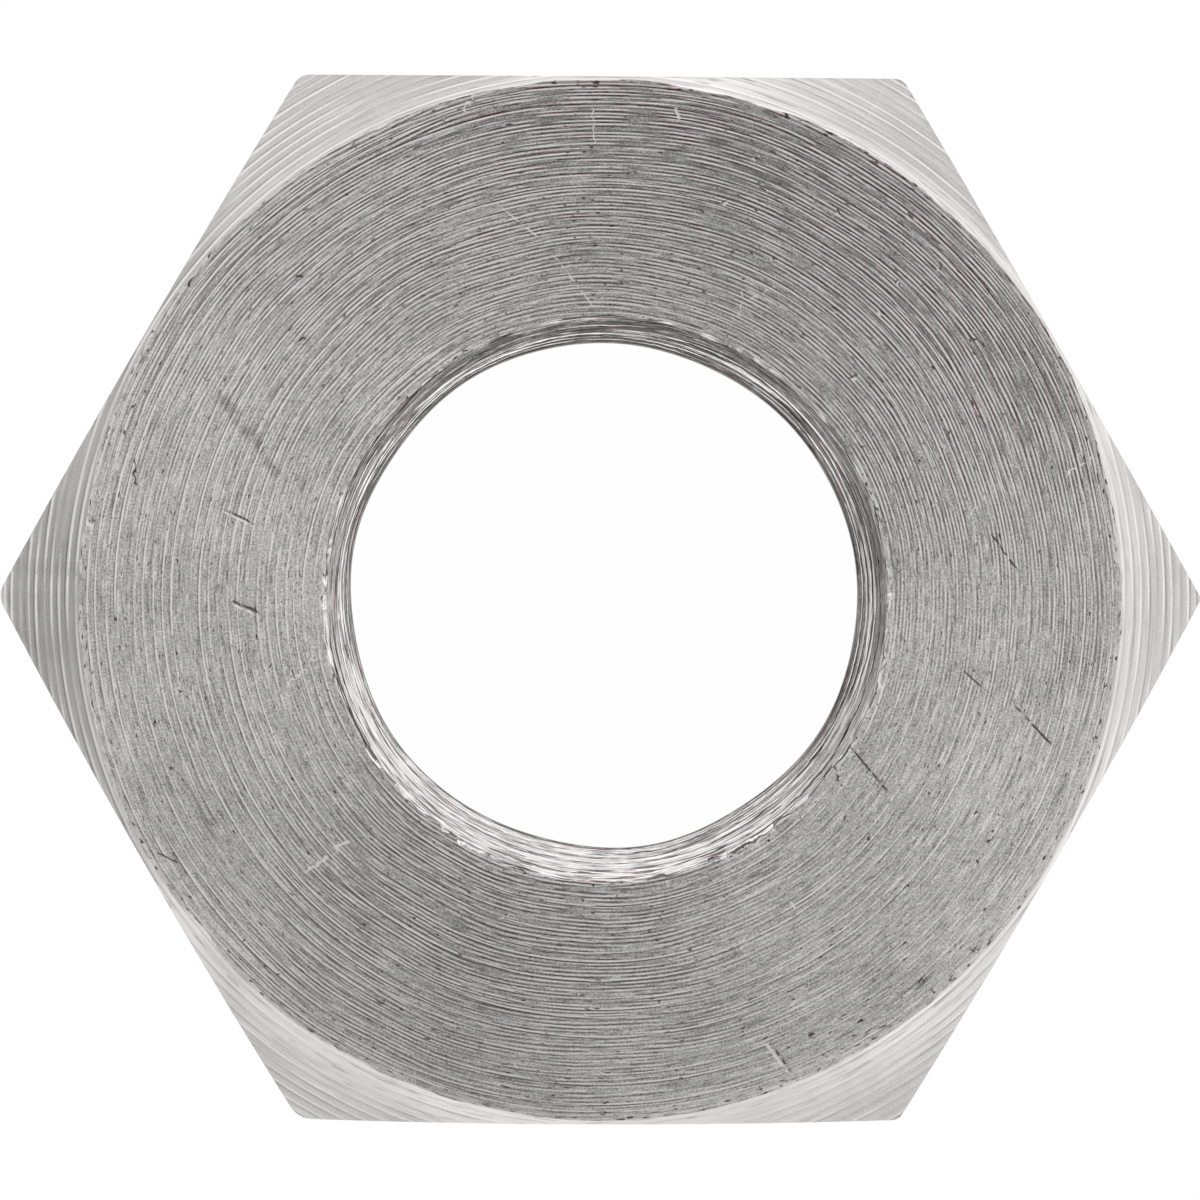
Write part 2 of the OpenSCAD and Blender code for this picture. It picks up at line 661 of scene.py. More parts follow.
        last = start.relaid(marks(edge, 0.0))
        for radius in radii:
            place = radius + shift
            inside = (place > edge) & (place < outline)
            if not inside.any():
                continue
            held = np.clip(place, edge, outline)
            now = marks(held, 1.0)
            now[~inside, 1] = 0.0
            last = skin.join(last, skin.row(angles, held, height(held), now, last), Surface.CHAMFER)
        final = skin.row(angles, outline, height(outline), marks(outline, 0.0), last)
        return skin.join(last, final, Surface.CHAMFER), height(outline)

    def sides(self, skin: Skin, start: Row, heights: np.ndarray, steps: int = 5) -> Row:
        """Builds the flats and the underside.

        Args:
            skin: the skin that takes them.
            start: the row on the outline at the top.
            heights: that row's heights.
            steps: how many strips the flats have.

        Returns:
            The row where the underside ends, near the neck.
        """
        angles = self.angles()
        outline, slope = self.reach(angles), math.tan(math.radians(self.chamfer_slope))
        sharp = self.bar_reach / math.cos(math.radians(30))
        break_radius = sharp - self.under_break / slope
        low = self.bottom_z + np.maximum(0, (outline - break_radius) * slope)
        plain = np.zeros((len(angles), 4))
        last = start.relaid(plain)
        for step in range(1, steps + 1):
            share = step / steps
            row = skin.row(angles, outline, heights * (1 - share) + low * share, plain, last)
            last = skin.join(last, row, Surface.FLATS)
        for radius in np.linspace(self.under_start, break_radius, self.under_rows):
            held = np.minimum(outline, radius)
            level = self.bottom_z + np.maximum(0, (held - break_radius) * slope)
            turned = plain + np.stack([held / self.under_feed, 0 * held, 0 * held, 0 * held], axis=1)
            row = skin.row(angles, held, level, turned, last)
            last = skin.join(last.relaid(turned), row, Surface.SHANK)
        return last


@dataclass(frozen=True)
class Shank:
    """The nose, the threaded barrel and the neck below the head."""

    thread_radius: float
    pitch: float = 1.0
    nose_length: float = 1.7
    thread_length: float = 6.6
    neck_top: float = 9.5
    fillet: float = 0.3
    nose_bevel: float = 0.3
    root_clearance: float = 0.14
    # Depth of an ISO outside thread for each unit of its pitch
    depth_per_pitch: float = 0.61343
    columns: int = 160
    # Rows of points in one pitch of the thread, round the fillet, down the neck and down the nose
    samples: int = 16
    fillet_rows: int = 9
    neck_rows: int = 7
    nose_rows: int = 8
    feed: float = 0.06

    @property
    def root_radius(self) -> float:
        """Radius of the thread's root."""
        return self.thread_radius - self.pitch * self.depth_per_pitch

    @property
    def radius(self) -> float:
        """Radius of the neck and the nose."""
        return self.root_radius - self.root_clearance

    @property
    def neck_z(self) -> float:
        """Height where the thread ends and the neck starts."""
        return self.nose_length + self.thread_length

    def angles(self) -> np.ndarray:
        """Returns the angles of the columns."""
        return np.arange(self.columns) * FULL_TURN / self.columns

    def outline(self, skin: Skin, last: Row, points: list[tuple[float, float]], surface: Surface) -> Row:
        """Turns a stretch of the outline.

        Args:
            skin: the skin that takes it.
            last: the row that it starts from.
            points: radius and height of each further row.
            surface: the surface that it is.

        Returns:
            The last row.
        """
        angles, run = self.angles(), 0.0
        before = points[0]
        for radius, height in points:
            run += math.dist(before, (radius, height))
            before = (radius, height)
            marks = np.array([run / self.feed, 0.0, 0.0, 0.0])
            row = skin.row(angles, np.full(len(angles), radius), np.full(len(angles), height), marks, last)
            last = skin.join(last, row, surface)
        return last

    def neck(self, skin: Skin, under: Row) -> Row:
        """Builds the fillet under the head and the neck down to the thread.

        Args:
            skin: the skin that takes them.
            under: the row on the head's underside.

        Returns:
            The row where the thread starts.
        """
        bends = np.radians(np.linspace(90, 180, self.fillet_rows))
        centre = (self.radius + self.fillet, self.neck_top - self.fillet)
        fillet = [(centre[0] + self.fillet * math.cos(bend), centre[1] + self.fillet * math.sin(bend))
                  for bend in bends]
        heights = np.linspace(self.neck_top - self.fillet, self.neck_z, self.neck_rows)[1:]
        return self.outline(skin, under, fillet + [(self.radius, z) for z in heights], Surface.SHANK)

    def nose(self, skin: Skin) -> Row:
        """Builds the nose below the thread, with its bevel.

        Args:
            skin: the skin that takes it.

        Returns:
            The row on the outer edge of the tip.
        """
        angles = self.angles()
        radii, top = np.full(len(angles), self.radius), np.full(len(angles), self.nose_length)
        first = skin.row(angles, radii, top, np.zeros(4))
        heights = np.linspace(self.nose_length, self.nose_bevel, self.nose_rows)[1:]
        walls = [(self.radius, z) for z in heights]
        bevel = [(self.radius - self.nose_bevel * s, self.nose_bevel * (1 - s)) for s in (0.5, 1.0)]
        return self.outline(skin, first, walls + bevel, Surface.SHANK)

    def thread_tree(self) -> bpy.types.NodeTree:
        """Builds the geometry tree of the thread: a grid wound once round the axis, in rows along the helix.

        Returns:
            The tree, with the thread's sizes as its named inputs.
        """
        tree = bpy.data.node_groups.new("cut_thread", "GeometryNodeTree")
        number = "NodeSocketFloat"
        given = inputs_of(tree, {
            "Geometry": "NodeSocketGeometry", "Crest radius": number, "Root radius": number,
            "End radius": number, "Pitch": number, "Low end": number, "High end": number, "Feed": number,
            "Columns": "NodeSocketInt", "Rows": "NodeSocketInt", "Rows in a pitch": number,
            "Finish": "NodeSocketMaterial",
        })
        tree.interface.new_socket("Geometry", in_out="OUTPUT", socket_type="NodeSocketGeometry")
        length = add(tree, MATH, {0: given["Rows"], 1: given["Rows in a pitch"]}, operation="DIVIDE")
        grid = add(tree, "GeometryNodeMeshGrid", {
            "Size X": 1.0, "Size Y": length,
            "Vertices X": add(tree, MATH, {0: given["Columns"], 1: 1.0}, operation="ADD"),
            "Vertices Y": add(tree, MATH, {0: given["Rows"], 1: 1.0}, operation="ADD"),
        }, out="Mesh")
        place = add(tree, SEPARATE, {0: add(tree, "GeometryNodeInputPosition")}).node.outputs
        turn = add(tree, MATH, {0: place["X"], 1: 0.5}, operation="ADD")
        count = add(tree, MATH, {0: length, 1: 0.5, 2: place["Y"]}, operation="MULTIPLY_ADD")
        # Each row climbs by one pitch in one turn, and both ends are held level
        climbed = add(tree, MATH, {0: add(tree, MATH, {0: count, 1: turn}, operation="ADD"), 1: 1.0},
                      operation="SUBTRACT")
        free = add(tree, MATH, {0: climbed, 1: given["Pitch"], 2: given["Low end"]},
                   operation="MULTIPLY_ADD")
        height = add(tree, "ShaderNodeClamp", {"Value": free, "Min": given["Low end"],
                                               "Max": given["High end"]})
        # The crest is an eighth of the pitch wide, the root a quarter
        part = add(tree, MATH, {0: add(tree, MATH, {0: count}, operation="FRACT"), 1: 0.5},
                   operation="SUBTRACT")
        aside = add(tree, MATH, {0: part}, operation="ABSOLUTE")
        form = add(tree, RANGE, {"Value": aside, "From Min": 1 / 8, "From Max": 7 / 16,
                                 "To Min": given["Root radius"], "To Max": given["Crest radius"]})
        from_low = add(tree, MATH, {0: height, 1: given["Low end"]}, operation="SUBTRACT")
        from_high = add(tree, MATH, {0: given["High end"], 1: height}, operation="SUBTRACT")
        near = add(tree, MATH, {0: from_low, 1: from_high}, operation="MINIMUM")
        bevel = add(tree, MATH, {0: near, 1: given["End radius"]}, operation="ADD")
        radius = add(tree, MATH, {0: form, 1: bevel}, operation="MINIMUM")
        angle = add(tree, MATH, {0: turn, 1: FULL_TURN}, operation="MULTIPLY")
        placed = add(tree, COMBINE, {
            "X": add(tree, MATH, {0: radius, 1: add(tree, MATH, {0: angle}, operation="COSINE")},
                     operation="MULTIPLY"),
            "Y": add(tree, MATH, {0: radius, 1: add(tree, MATH, {0: angle}, operation="SINE")},
                     operation="MULTIPLY"),
            "Z": height,
        })
        wound = add(tree, "GeometryNodeSetPosition", {"Geometry": grid, "Position": placed})
        closed = add(tree, "GeometryNodeMergeByDistance", {"Geometry": wound, "Distance": WELD})
        level = add(tree, SEPARATE, {0: add(tree, "GeometryNodeInputPosition")}, out="Z")
        lay = add(tree, COMBINE, {"X": add(tree, MATH, {0: level, 1: given["Feed"]}, operation="DIVIDE")})
        marked = add(tree, "GeometryNodeStoreNamedAttribute",
                     {"Geometry": closed, "Name": LAY, "Value": lay}, data_type="FLOAT_VECTOR",
                     domain="POINT")
        real = add(tree, "GeometryNodeRealizeInstances", {"Geometry": marked})
        dressed = add(tree, "GeometryNodeSetMaterial", {"Geometry": real, "Material": given["Finish"]})
        add(tree, "NodeGroupOutput", {"Geometry": dressed})
        return tree

    def thread(self, skin: Skin, finish: bpy.types.Material) -> None:
        """Cuts the thread and adds it to the skin.

        Args:
            skin: the skin that takes it.
            finish: the thread's material.
        """
        turns = self.thread_length / self.pitch + 1
        made = with_nodes(bpy.data.meshes.new("thread_blank"), self.thread_tree(), {
            "Crest radius": self.thread_radius, "Root radius": self.root_radius, "End radius": self.radius,
            "Pitch": self.pitch, "Low end": self.nose_length, "High end": self.neck_z, "Feed": self.feed,
            "Columns": self.columns, "Rows": math.ceil(turns * self.samples),
            "Rows in a pitch": float(self.samples), "Finish": finish,
        })
        skin.take(made, Surface.THREAD)
        log.info("thread: %d points", len(made.vertices))
        bpy.data.meshes.remove(made)


@dataclass(frozen=True)
class Ridges:
    """Ridges round a cone, each a steep drop, a tread and a rounded crest.

    Fields: the share of each ridge's tread that is crest, from the foot up, the share of the ridge that its
    tread takes, and the slopes of tread and crest in degrees.
    """

    crests: tuple[float, ...]
    tread: float
    slope: float
    crest_slope: float = 29.0
    # How uneven the ridges' places, their treads and their crests are
    unevenness: float = 0.16
    tread_unevenness: float = 0.14
    crest_unevenness: float = 0.5


@dataclass(frozen=True)
class Way:
    """The drilled way for the tube: its mouth, the lead-in, the bore and the flare seat."""

    radius: float
    top_z: float
    # The mouth lies this far off the bar's middle
    centre: tuple[float, float] = (0.071, 0.008)
    # The lip where the lead-in ends stands this far into the bore, and hides the wall below it
    lip: float = 0.062
    lip_centre: tuple[float, float] = (0.047, 0.044)
    # How much the lead-in and the mouth are brightened at each hour from 3 o'clock anticlockwise: partly the
    # reamer's burnishing, and round 6 o'clock mostly painted light
    lead_burnish_and_light: tuple[float, ...] = (0.0, 0.1, 0.0, 0.0, 0.0, 0.0, 0.3, 0.8, 1.0, 1.0, 0.6, 0.1)
    mouth_burnish_and_light: tuple[float, ...] = (0.1, 0.2, 0.0, 0.0, 0.1, 0.25, 0.4, 0.9, 1.0, 1.0, 0.85, 0.4)
    # Widths of the broken edge and of the lead-in, and the slope of the lead-in from the axis
    mouth_break: float = 0.135
    lead_width: float = 0.09
    lead_slope: float = 25.0
    seat_radius: float = 3.5
    seat_slope: float = 42.0
    columns: int = 360
    lead_ridges: Ridges = Ridges(crests=(0.15, 0.35, 0.55, 0.55), tread=0.9, slope=40)
    mouth_ridges: Ridges = Ridges(crests=(0.1, 0.06, 0.0), tread=0.92, slope=38)
    # What one count of tool turns stands for here, in mm
    feed: float = 0.05
    # The bore's rings are drawn this much coarser than real, as its wall is seen at a flat angle if at all
    bore_stretch: float = 100.0
    # Rows of points down the seat and up the bore, and turns of the tool between two rows of the seat
    seat_rows: int = 8
    bore_rows: int = 15
    seat_turns: float = 2.4
    # How far the rim is torn, how much further where it is burnished, and how far it sinks, in mm
    rim_tear: float = 0.006
    rim_rolled: float = 0.009
    rim_sunk: float = 0.004
    # Lobes that the drill left: how many, how high in mm, and where the first one lies in degrees
    lobes: tuple[tuple[int, float, float], ...] = (
        (2, 0.0120, -47), (3, 0.0040, -60), (4, 0.0036, 82),
        (6, 0.0069, -111), (7, 0.0059, 129), (9, 0.0049, 50),
    )

    def angles(self) -> np.ndarray:
        """Returns the angles of the columns."""
        return np.arange(self.columns) * FULL_TURN / self.columns

    def off_centre(self, angles: np.ndarray, centre: tuple[float, float]) -> np.ndarray:
        """Returns how much further out a circle lies at each angle, because of where its centre is."""
        return centre[0] * np.cos(angles) + centre[1] * np.sin(angles)

    def lobed(self, angles: np.ndarray) -> np.ndarray:
        """Returns how far the lobes push the bore out at each angle."""
        return sum(high * np.cos(count * angles - math.radians(first)) for count, high, first in self.lobes)

    def ridged(self, skin: Skin, last: Row, foot: np.ndarray, top: np.ndarray, levels: tuple[float, float],
               ridges: Ridges, burnish_and_light: np.ndarray, surface: Surface, rng: np.random.Generator,
               closed: bool = True) -> Row:
        """Builds a cone that opens upwards in ridges.

        Args:
            skin: the skin that takes it.
            last: the row at its foot.
            foot: the radii of its foot, in millimetres.
            top: the radii of its top.
            levels: the heights of its foot and its top.
            ridges: its ridges.
            burnish_and_light: how much it is brightened at each angle, by burnishing and by painted light.
            surface: the surface that it is.
            rng: the random source.
            closed: whether its last ridge gets a crest. Otherwise the tread runs on to what it meets.

        Returns:
            Its last row.
        """
        angles, width, rise = self.angles(), top - foot, levels[1] - levels[0]
        count = len(ridges.crests)
        ends = [(k + ridges.unevenness * ragged(rng, len(angles), 9) * (0 < k < count)) / count
                for k in range(count + 1)]
        for k, (low, high) in enumerate(zip(ends, ends[1:])):
            share = np.clip(ridges.tread + ridges.tread_unevenness * ragged(rng, len(angles), 5), 0.2, 0.95)
            tread = width * np.maximum(high - low, 0.02) * share
            spread = 1 + ridges.crest_unevenness * ragged(rng, len(angles), 9)
            crest = tread * np.clip(ridges.crests[k] * spread, 0, 0.7)
            crest_drop = crest * math.tan(math.radians(ridges.crest_slope))
            drop = crest_drop + (tread - crest) * math.tan(math.radians(ridges.slope))
            # The reamer polished every crest
            # Each tread takes the brightening of its angle, which is burnishing with painted light round 6
            # o'clock
            steps = [
                (tread, drop, burnish_and_light), (crest, crest_drop, burnish_and_light),
                (0 * tread, 0 * drop, 1 + 0 * burnish_and_light),
            ]
            if not closed and k == count - 1:
                steps = steps[:1]
            for back, down, polish_and_light in steps:
                run = (width * high - back + rise * high - down) / self.feed
                marks = np.stack([run, 0 * run, 0 * run + 1, polish_and_light], axis=1)
                row = skin.row(angles, foot + width * high - back, levels[0] + rise * high - down, marks)
                below = last.marks.copy()
                below[:, 3] = polish_and_light
                last = skin.join(last.relaid(below), row, surface)
        return last

    def build(self, skin: Skin, rim_angles: np.ndarray,
              rng: np.random.Generator) -> tuple[Row, Row, np.ndarray]:
        """Builds the way from the flare seat up to the rim of the mouth.

        Args:
            skin: the skin that takes it.
            rim_angles: the angles of the head's columns, which the rim takes.
            rng: the random source.

        Returns:
            The row on the tip of the nose, the row on the rim, and the rim's distances from the axis.
        """
        angles = self.angles()
        shift, lobes = self.off_centre(angles, self.centre), self.lobed(angles)
        lip = self.radius - self.lip + self.off_centre(angles, self.lip_centre) + lobes
        seat_top = (self.seat_radius - self.radius) / math.tan(math.radians(self.seat_slope))
        lead_top = self.top_z - self.mouth_break
        lead_bottom = lead_top - self.lead_width / math.tan(math.radians(self.lead_slope))

        level = np.zeros(len(angles))
        tip = last = skin.row(angles, level + self.seat_radius, level, np.zeros(4))
        for step in range(1, self.seat_rows + 1):
            share = step / self.seat_rows
            radii = self.seat_radius * (1 - share) + (self.radius + shift + lobes) * share
            marks = np.array([step * self.seat_turns, 0, 0, 0])
            last = skin.join(last, skin.row(angles, radii, level + share * seat_top, marks), Surface.SEAT)

        last = last.relaid(np.zeros(4))
        for height in np.linspace(seat_top, lead_bottom, self.bore_rows + 1)[1:]:
            share = (height - seat_top) / (lead_bottom - seat_top)
            marks = np.array([(height - seat_top) / self.bore_stretch / self.feed, 0, 0.6, 0])
            radii = (self.radius + shift + lobes) * (1 - share) + lip * share
            last = skin.join(last, skin.row(angles, radii, level + height, marks), Surface.BORE)

        lead_end = self.radius + self.lead_width + shift
        last = last.relaid(np.array([0.0, 0.0, 1.0, 0.0]))
        last = self.ridged(skin, last, lip, lead_end, (lead_bottom, lead_top), self.lead_ridges,
                           periodic(self.lead_burnish_and_light, angles), Surface.LEAD, rng)
        last = self.ridged(skin, last, lead_end, lead_end + self.mouth_break, (lead_top, self.top_z),
                           self.mouth_ridges, periodic(self.mouth_burnish_and_light, angles), Surface.MOUTH, rng,
                           closed=False)
        rim_radii = self.radius + self.lead_width + self.mouth_break
        rim_radii = rim_radii + self.off_centre(rim_angles, self.centre)
        torn = self.rim_tear + self.rim_rolled * periodic(self.mouth_burnish_and_light, rim_angles)
        rim_radii = rim_radii + torn * np.clip(ragged(rng, len(rim_angles), 1), -2, 2)
        marks = np.array([2 * self.mouth_break / self.feed, 0, 0.6, 2.0])
        sunk = self.rim_sunk * np.abs(ragged(rng, len(rim_angles), 1))
        rim = skin.row(rim_angles, rim_radii, self.top_z - sunk, marks)
        return tip, skin.join(last, rim, Surface.MOUTH), rim_radii


@dataclass(frozen=True)
class Picture:
    """Where the photograph shows the end of the nut, in its frame of 1200 by 1200 pixels."""

    side: int = 1200
    # Pixel of the axis at the level of the end face, and the scale there
    axis: tuple[float, float] = (599.0, 599.9)
    px_per_mm: float = 105.05
    # Turn of the camera about its own line of sight, in degrees
    roll: float = 0.15

    def on_face(self, pixel: tuple[float, float]) -> tuple[float, float, float]:
        """Works out the point of the end face that a pixel shows.

        Args:
            pixel: the pixel's column and row.

        Returns:
            The point in millimetres, with a height of zero.
        """
        across, up = (pixel[0] - self.axis[0]) / self.px_per_mm, (self.axis[1] - pixel[1]) / self.px_per_mm
        roll = math.radians(self.roll)
        x = across * math.cos(roll) - up * math.sin(roll)
        y = across * math.sin(roll) + up * math.cos(roll)
        return x, y, 0.0


@dataclass(frozen=True)
class Scratch:
    """A knock, scratch or stain on the end of the nut, between two pixels of the photograph."""

    start_px: tuple[float, float]
    end_px: tuple[float, float]
    tone: Tone = Tone.DARK
    width_px: float = 2.6


SCRATCHES: tuple[Scratch, ...] = (
    Scratch((218, 392), (268, 457), Tone.SMUDGE, 15.0),
    Scratch((264, 458), (281, 476), Tone.SMUDGE, 13.0),
    Scratch((232, 601), (260, 613), Tone.DENT, 3.2),
    Scratch((224, 509), (256, 525), Tone.DENT, 2.6),
    Scratch((83, 512), (97, 525), Tone.DENT, 5.0),
    Scratch((133, 446), (137, 492), width_px=2.4),
    Scratch((154, 851), (182, 865), width_px=1.8),
    Scratch((769, 1041), (792, 1073), Tone.DENT, 3.6),
    Scratch((849, 745), (890, 794), width_px=2.8),
    Scratch((833, 764), (841, 784), width_px=3.0),
    Scratch((984, 845), (994, 836), width_px=3.0),
    Scratch((969, 873), (980, 860), width_px=3.0),
    Scratch((966, 947), (975, 952), width_px=3.0),
    Scratch((1010, 701), (1054, 747), width_px=3.0),
    Scratch((991, 533), (1020, 574), width_px=2.0),
    Scratch((964, 671), (993, 697), width_px=2.0),
    Scratch((296, 276), (306, 278), width_px=4.0),
    Scratch((298, 343), (306, 337), width_px=3.0),
    Scratch((341, 365), (343, 365), width_px=3.2),
    Scratch((925, 232), (943, 247), width_px=2.4),
    Scratch((939, 267), (941, 269), width_px=3.6),
    Scratch((923, 981), (925, 983), width_px=5.0),
    Scratch((244, 940), (246, 942), width_px=3.4),
    Scratch((235, 963), (237, 965), width_px=3.4),
    Scratch((304, 874), (353, 838), Tone.BRIGHT, 5.0),
    Scratch((278, 696), (319, 655), Tone.BRIGHT, 2.2),
    Scratch((258, 681), (274, 668), Tone.BRIGHT, 2.2),
    Scratch((501, 207), (540, 239), Tone.BRIGHT, 2.0),
    Scratch((553, 254), (596, 310), Tone.BRIGHT, 2.2),
    Scratch((464, 114), (475, 93), Tone.BRIGHT, 2.6),
    Scratch((675, 106), (681, 121), Tone.BRIGHT, 3.6),
    Scratch((593, 106), (595, 147), Tone.BRIGHT, 2.2),
    Scratch((749, 302), (775, 284), Tone.BRIGHT, 2.0),
    Scratch((739, 318), (743, 290), Tone.BRIGHT, 2.0),
    Scratch((721, 203), (727, 203), Tone.BRIGHT, 2.8),
    Scratch((755, 157), (760, 155), Tone.BRIGHT, 2.8),
    Scratch((964, 523), (979, 506), Tone.BRIGHT, 2.0),
    Scratch((1064, 477), (1095, 455), Tone.BRIGHT, 2.2),
    Scratch((791, 902), (797, 910), Tone.BRIGHT, 2.6),
    Scratch((499, 919), (512, 914), Tone.BRIGHT, 3.0),
    Scratch((513, 1064), (517, 1068), Tone.BRIGHT, 3.0),
    Scratch((578, 992), (580, 996), Tone.BRIGHT, 3.0),
    Scratch((314, 97), (318, 99), Tone.BRIGHT, 3.0),
    Scratch((754, 156), (759, 160), Tone.DENT, 3.0),
    Scratch((722, 204), (727, 200), Tone.DENT, 3.0),
    Scratch((838, 210), (842, 215), Tone.DENT, 3.0),
    Scratch((908, 213), (914, 219), Tone.DENT, 3.4),
    Scratch((770, 254), (775, 260), Tone.DENT, 3.0),
    Scratch((940, 262), (941, 271), Tone.DENT, 3.4),
    Scratch((895, 284), (901, 280), Tone.DENT, 3.0),
    Scratch((833, 307), (839, 312), Tone.DENT, 3.0),
    Scratch((880, 309), (884, 315), Tone.DENT, 3.4),
    Scratch((850, 380), (857, 372), Tone.DENT, 3.6),
    Scratch((877, 384), (883, 380), Tone.DENT, 3.0),
    Scratch((745, 288), (790, 312), Tone.BRIGHT, 1.8),
    Scratch((556, 948), (562, 952), Tone.STAIN, 7.0),
    Scratch((545, 1034), (551, 1036), Tone.STAIN, 7.0),
    Scratch((868, 535), (883, 567), Tone.BRIGHT, 3.0),
    Scratch((876, 663), (882, 692), Tone.BRIGHT, 5.0),
    Scratch((872, 668), (878, 690), Tone.DARK, 3.0),
)


class ScratchWork:
    """Lays the scratches and knocks of the photograph on a finish, three at a time."""

    # The sides of a mark are soft, and end at this share of its width from its middle
    half_width = 0.7
    # The painted highlight that stands for the raised rim a dent throws up lies this many of its half widths
    # beside it
    painted_rim_aside = 1.4
    # A mark and its painted rim highlight end within this many of its widths, and stray less than this
    # margin in mm
    rim_reach = 1.7
    margin = 0.1

    def __init__(self, picture: Picture, scratches: tuple[Scratch, ...]) -> None:
        """Keeps where they lie, and builds the node group that draws three.

        Args:
            picture: where the photograph shows the end of the nut.
            scratches: the marks.
        """
        self.picture = picture
        self.scratches = scratches
        self.group = self.stroke_group()

    def stroke_group(self) -> bpy.types.NodeTree:
        """Builds the node group that covers three straight strokes, with soft sides and ends.

        Each vector input holds one number for each stroke. A stroke lies where both its places are within 1.

        Returns:
            The group, from a point and the strokes' slopes to their cover.
        """
        tree = bpy.data.node_groups.new("three_strokes", "ShaderNodeTree")
        number, three = "NodeSocketFloat", "NodeSocketVector"
        given = inputs_of(tree, {
            "X": number, "Y": number, "Along X": three, "Along Y": three, "Along": three,
            "Across X": three, "Across Y": three, "Across": three,
        })
        tree.interface.new_socket("Cover", in_out="OUTPUT", socket_type=number)
        covers = []
        for way, solid in (("Along", 0.75), ("Across", 0.0)):
            part = add(tree, VECTOR, {0: given["Y"], 1: given[f"{way} Y"], 2: given[way]},
                       operation="MULTIPLY_ADD")
            place = add(tree, VECTOR, {0: given["X"], 1: given[f"{way} X"], 2: part},
                        operation="MULTIPLY_ADD")
            off = add(tree, VECTOR, {0: place}, operation="ABSOLUTE")
            covers.append(add(tree, RANGE, {
                "Vector": off, "From Min": (1, 1, 1), "From Max": (solid,) * 3, "To Min": (0, 0, 0),
                "To Max": (1, 1, 1),
            }, out="Vector", data_type="FLOAT_VECTOR", interpolation_type="SMOOTHSTEP"))
        inside = add(tree, VECTOR, {0: covers[0], 1: covers[1]}, operation="MULTIPLY")
        each = add(tree, SEPARATE, {0: inside})
        two = add(tree, MATH, {0: each.node.outputs["X"], 1: each.node.outputs["Y"]}, operation="MAXIMUM")
        cover = add(tree, MATH, {0: two, 1: each.node.outputs["Z"]}, operation="MAXIMUM")
        add(tree, "NodeGroupOutput", {"Cover": cover})
        return tree

    def slopes(self, mark: Scratch, aside: float = 0.0) -> dict[str, float]:
        """Works out how a mark's two places grow with X and Y, from -1 at one end or side to 1 at the other.

        Args:
            mark: the mark.
            aside: how many of its half widths beside it the stroke lies.

        Returns:
            The number that each input of the group takes for it.
        """
        start, end = (Vector(self.picture.on_face(pixel)) for pixel in (mark.start_px, mark.end_px))
        middle, half = (start + end) / 2, (end - start) / 2
        along = half / half.length_squared
        across = Vector((-half.y, half.x, 0)).normalized()
        across /= self.half_width * mark.width_px / self.picture.px_per_mm
        return {"Along X": along.x, "Along Y": along.y, "Along": -along.dot(middle),
                "Across X": across.x, "Across Y": across.y, "Across": aside - across.dot(middle)}

    def near(self, points: np.ndarray) -> np.ndarray:
        """Tells which points lie on or beside a mark, so that only their faces carry the marks' nodes.

        Args:
            points: the points, in millimetres.

        Returns:
            Whether each point is near.
        """
        found = np.zeros(len(points), dtype=bool)
        for mark in self.scratches:
            ends = (self.picture.on_face(pixel) for pixel in (mark.start_px, mark.end_px))
            start, end = (np.array(place[:2]) for place in ends)
            run = end - start
            share = np.clip((points[:, :2] - start) @ run / (run @ run), 0, 1)
            away = np.linalg.norm(points[:, :2] - start - share[:, None] * run, axis=1)
            found |= away < self.rim_reach * mark.width_px / self.picture.px_per_mm + self.margin
        return found

    def cover(self, tree: bpy.types.NodeTree, point: bpy.types.NodeSocket,
              tone: Tone) -> bpy.types.NodeSocket:
        """Adds the cover of all the marks of one tone.

        Args:
            tree: the material's tree.
            point: the place on the surface, in millimetres.
            tone: which marks are wanted.

        Returns:
            The share that the marks cover, from 0 to 1.
        """
        marks = [self.slopes(mark) for mark in self.scratches if mark.tone is tone]
        if tone is Tone.BRIGHT:
            # Each dent gets a bright stroke beside it, a painted highlight that stands for its raised rim
            marks += [self.slopes(mark, self.painted_rim_aside) for mark in self.scratches if mark.tone is Tone.DENT]
        place = add(tree, SEPARATE, {0: point}).node.outputs
        total = 0.0
        for first in range(0, len(marks), 3):
            three = (marks[first:first + 3] * 3)[:3]
            inputs = {name: tuple(mark[name] for mark in three) for name in three[0]}
            one = add(tree, "ShaderNodeGroup", {"X": place["X"], "Y": place["Y"]} | inputs,
                      node_tree=self.group)
            total = add(tree, MATH, {0: one, 1: total}, operation="MAXIMUM")
        return total


@dataclass(frozen=True)
class Lines:
    """A layer of fine lines along the cut: their length, width and depth in mm, and how much they shade.

    Reach is how far its noise swings before it is cut off. Sparse lines lie apart on an even ground.
    """

    length: float
    width: float
    depth: float
    shade: float
    reach: float = 0.25
    sparse: bool = False


@dataclass(frozen=True)
class Chatter:
    """Close waves across the cut: their pitch, the length of their unbroken runs and their depth in mm.

    Shade is how much they shade, painted_shade how much painted shade darkens all the ground where they lie,
    seam how much of a brown seam they open, and wander how many waves they drift.
    """

    pitch: float
    length: float
    depth: float
    shade: float
    painted_shade: float = 0.0
    seam: float = 0.9
    wander: float = 3.0
    # Power of the sine, which makes the crests and the seams thin
    thinness: float = 5.0
    # Length in mm of the dashes that the seams are torn open in
    dash: float = 0.13


@dataclass(frozen=True)
class Pits:
    """Short torn pits along the cut: their size in mm, the noise that they start at, and how dark."""

    length: float
    width: float
    start: float
    darkness: float


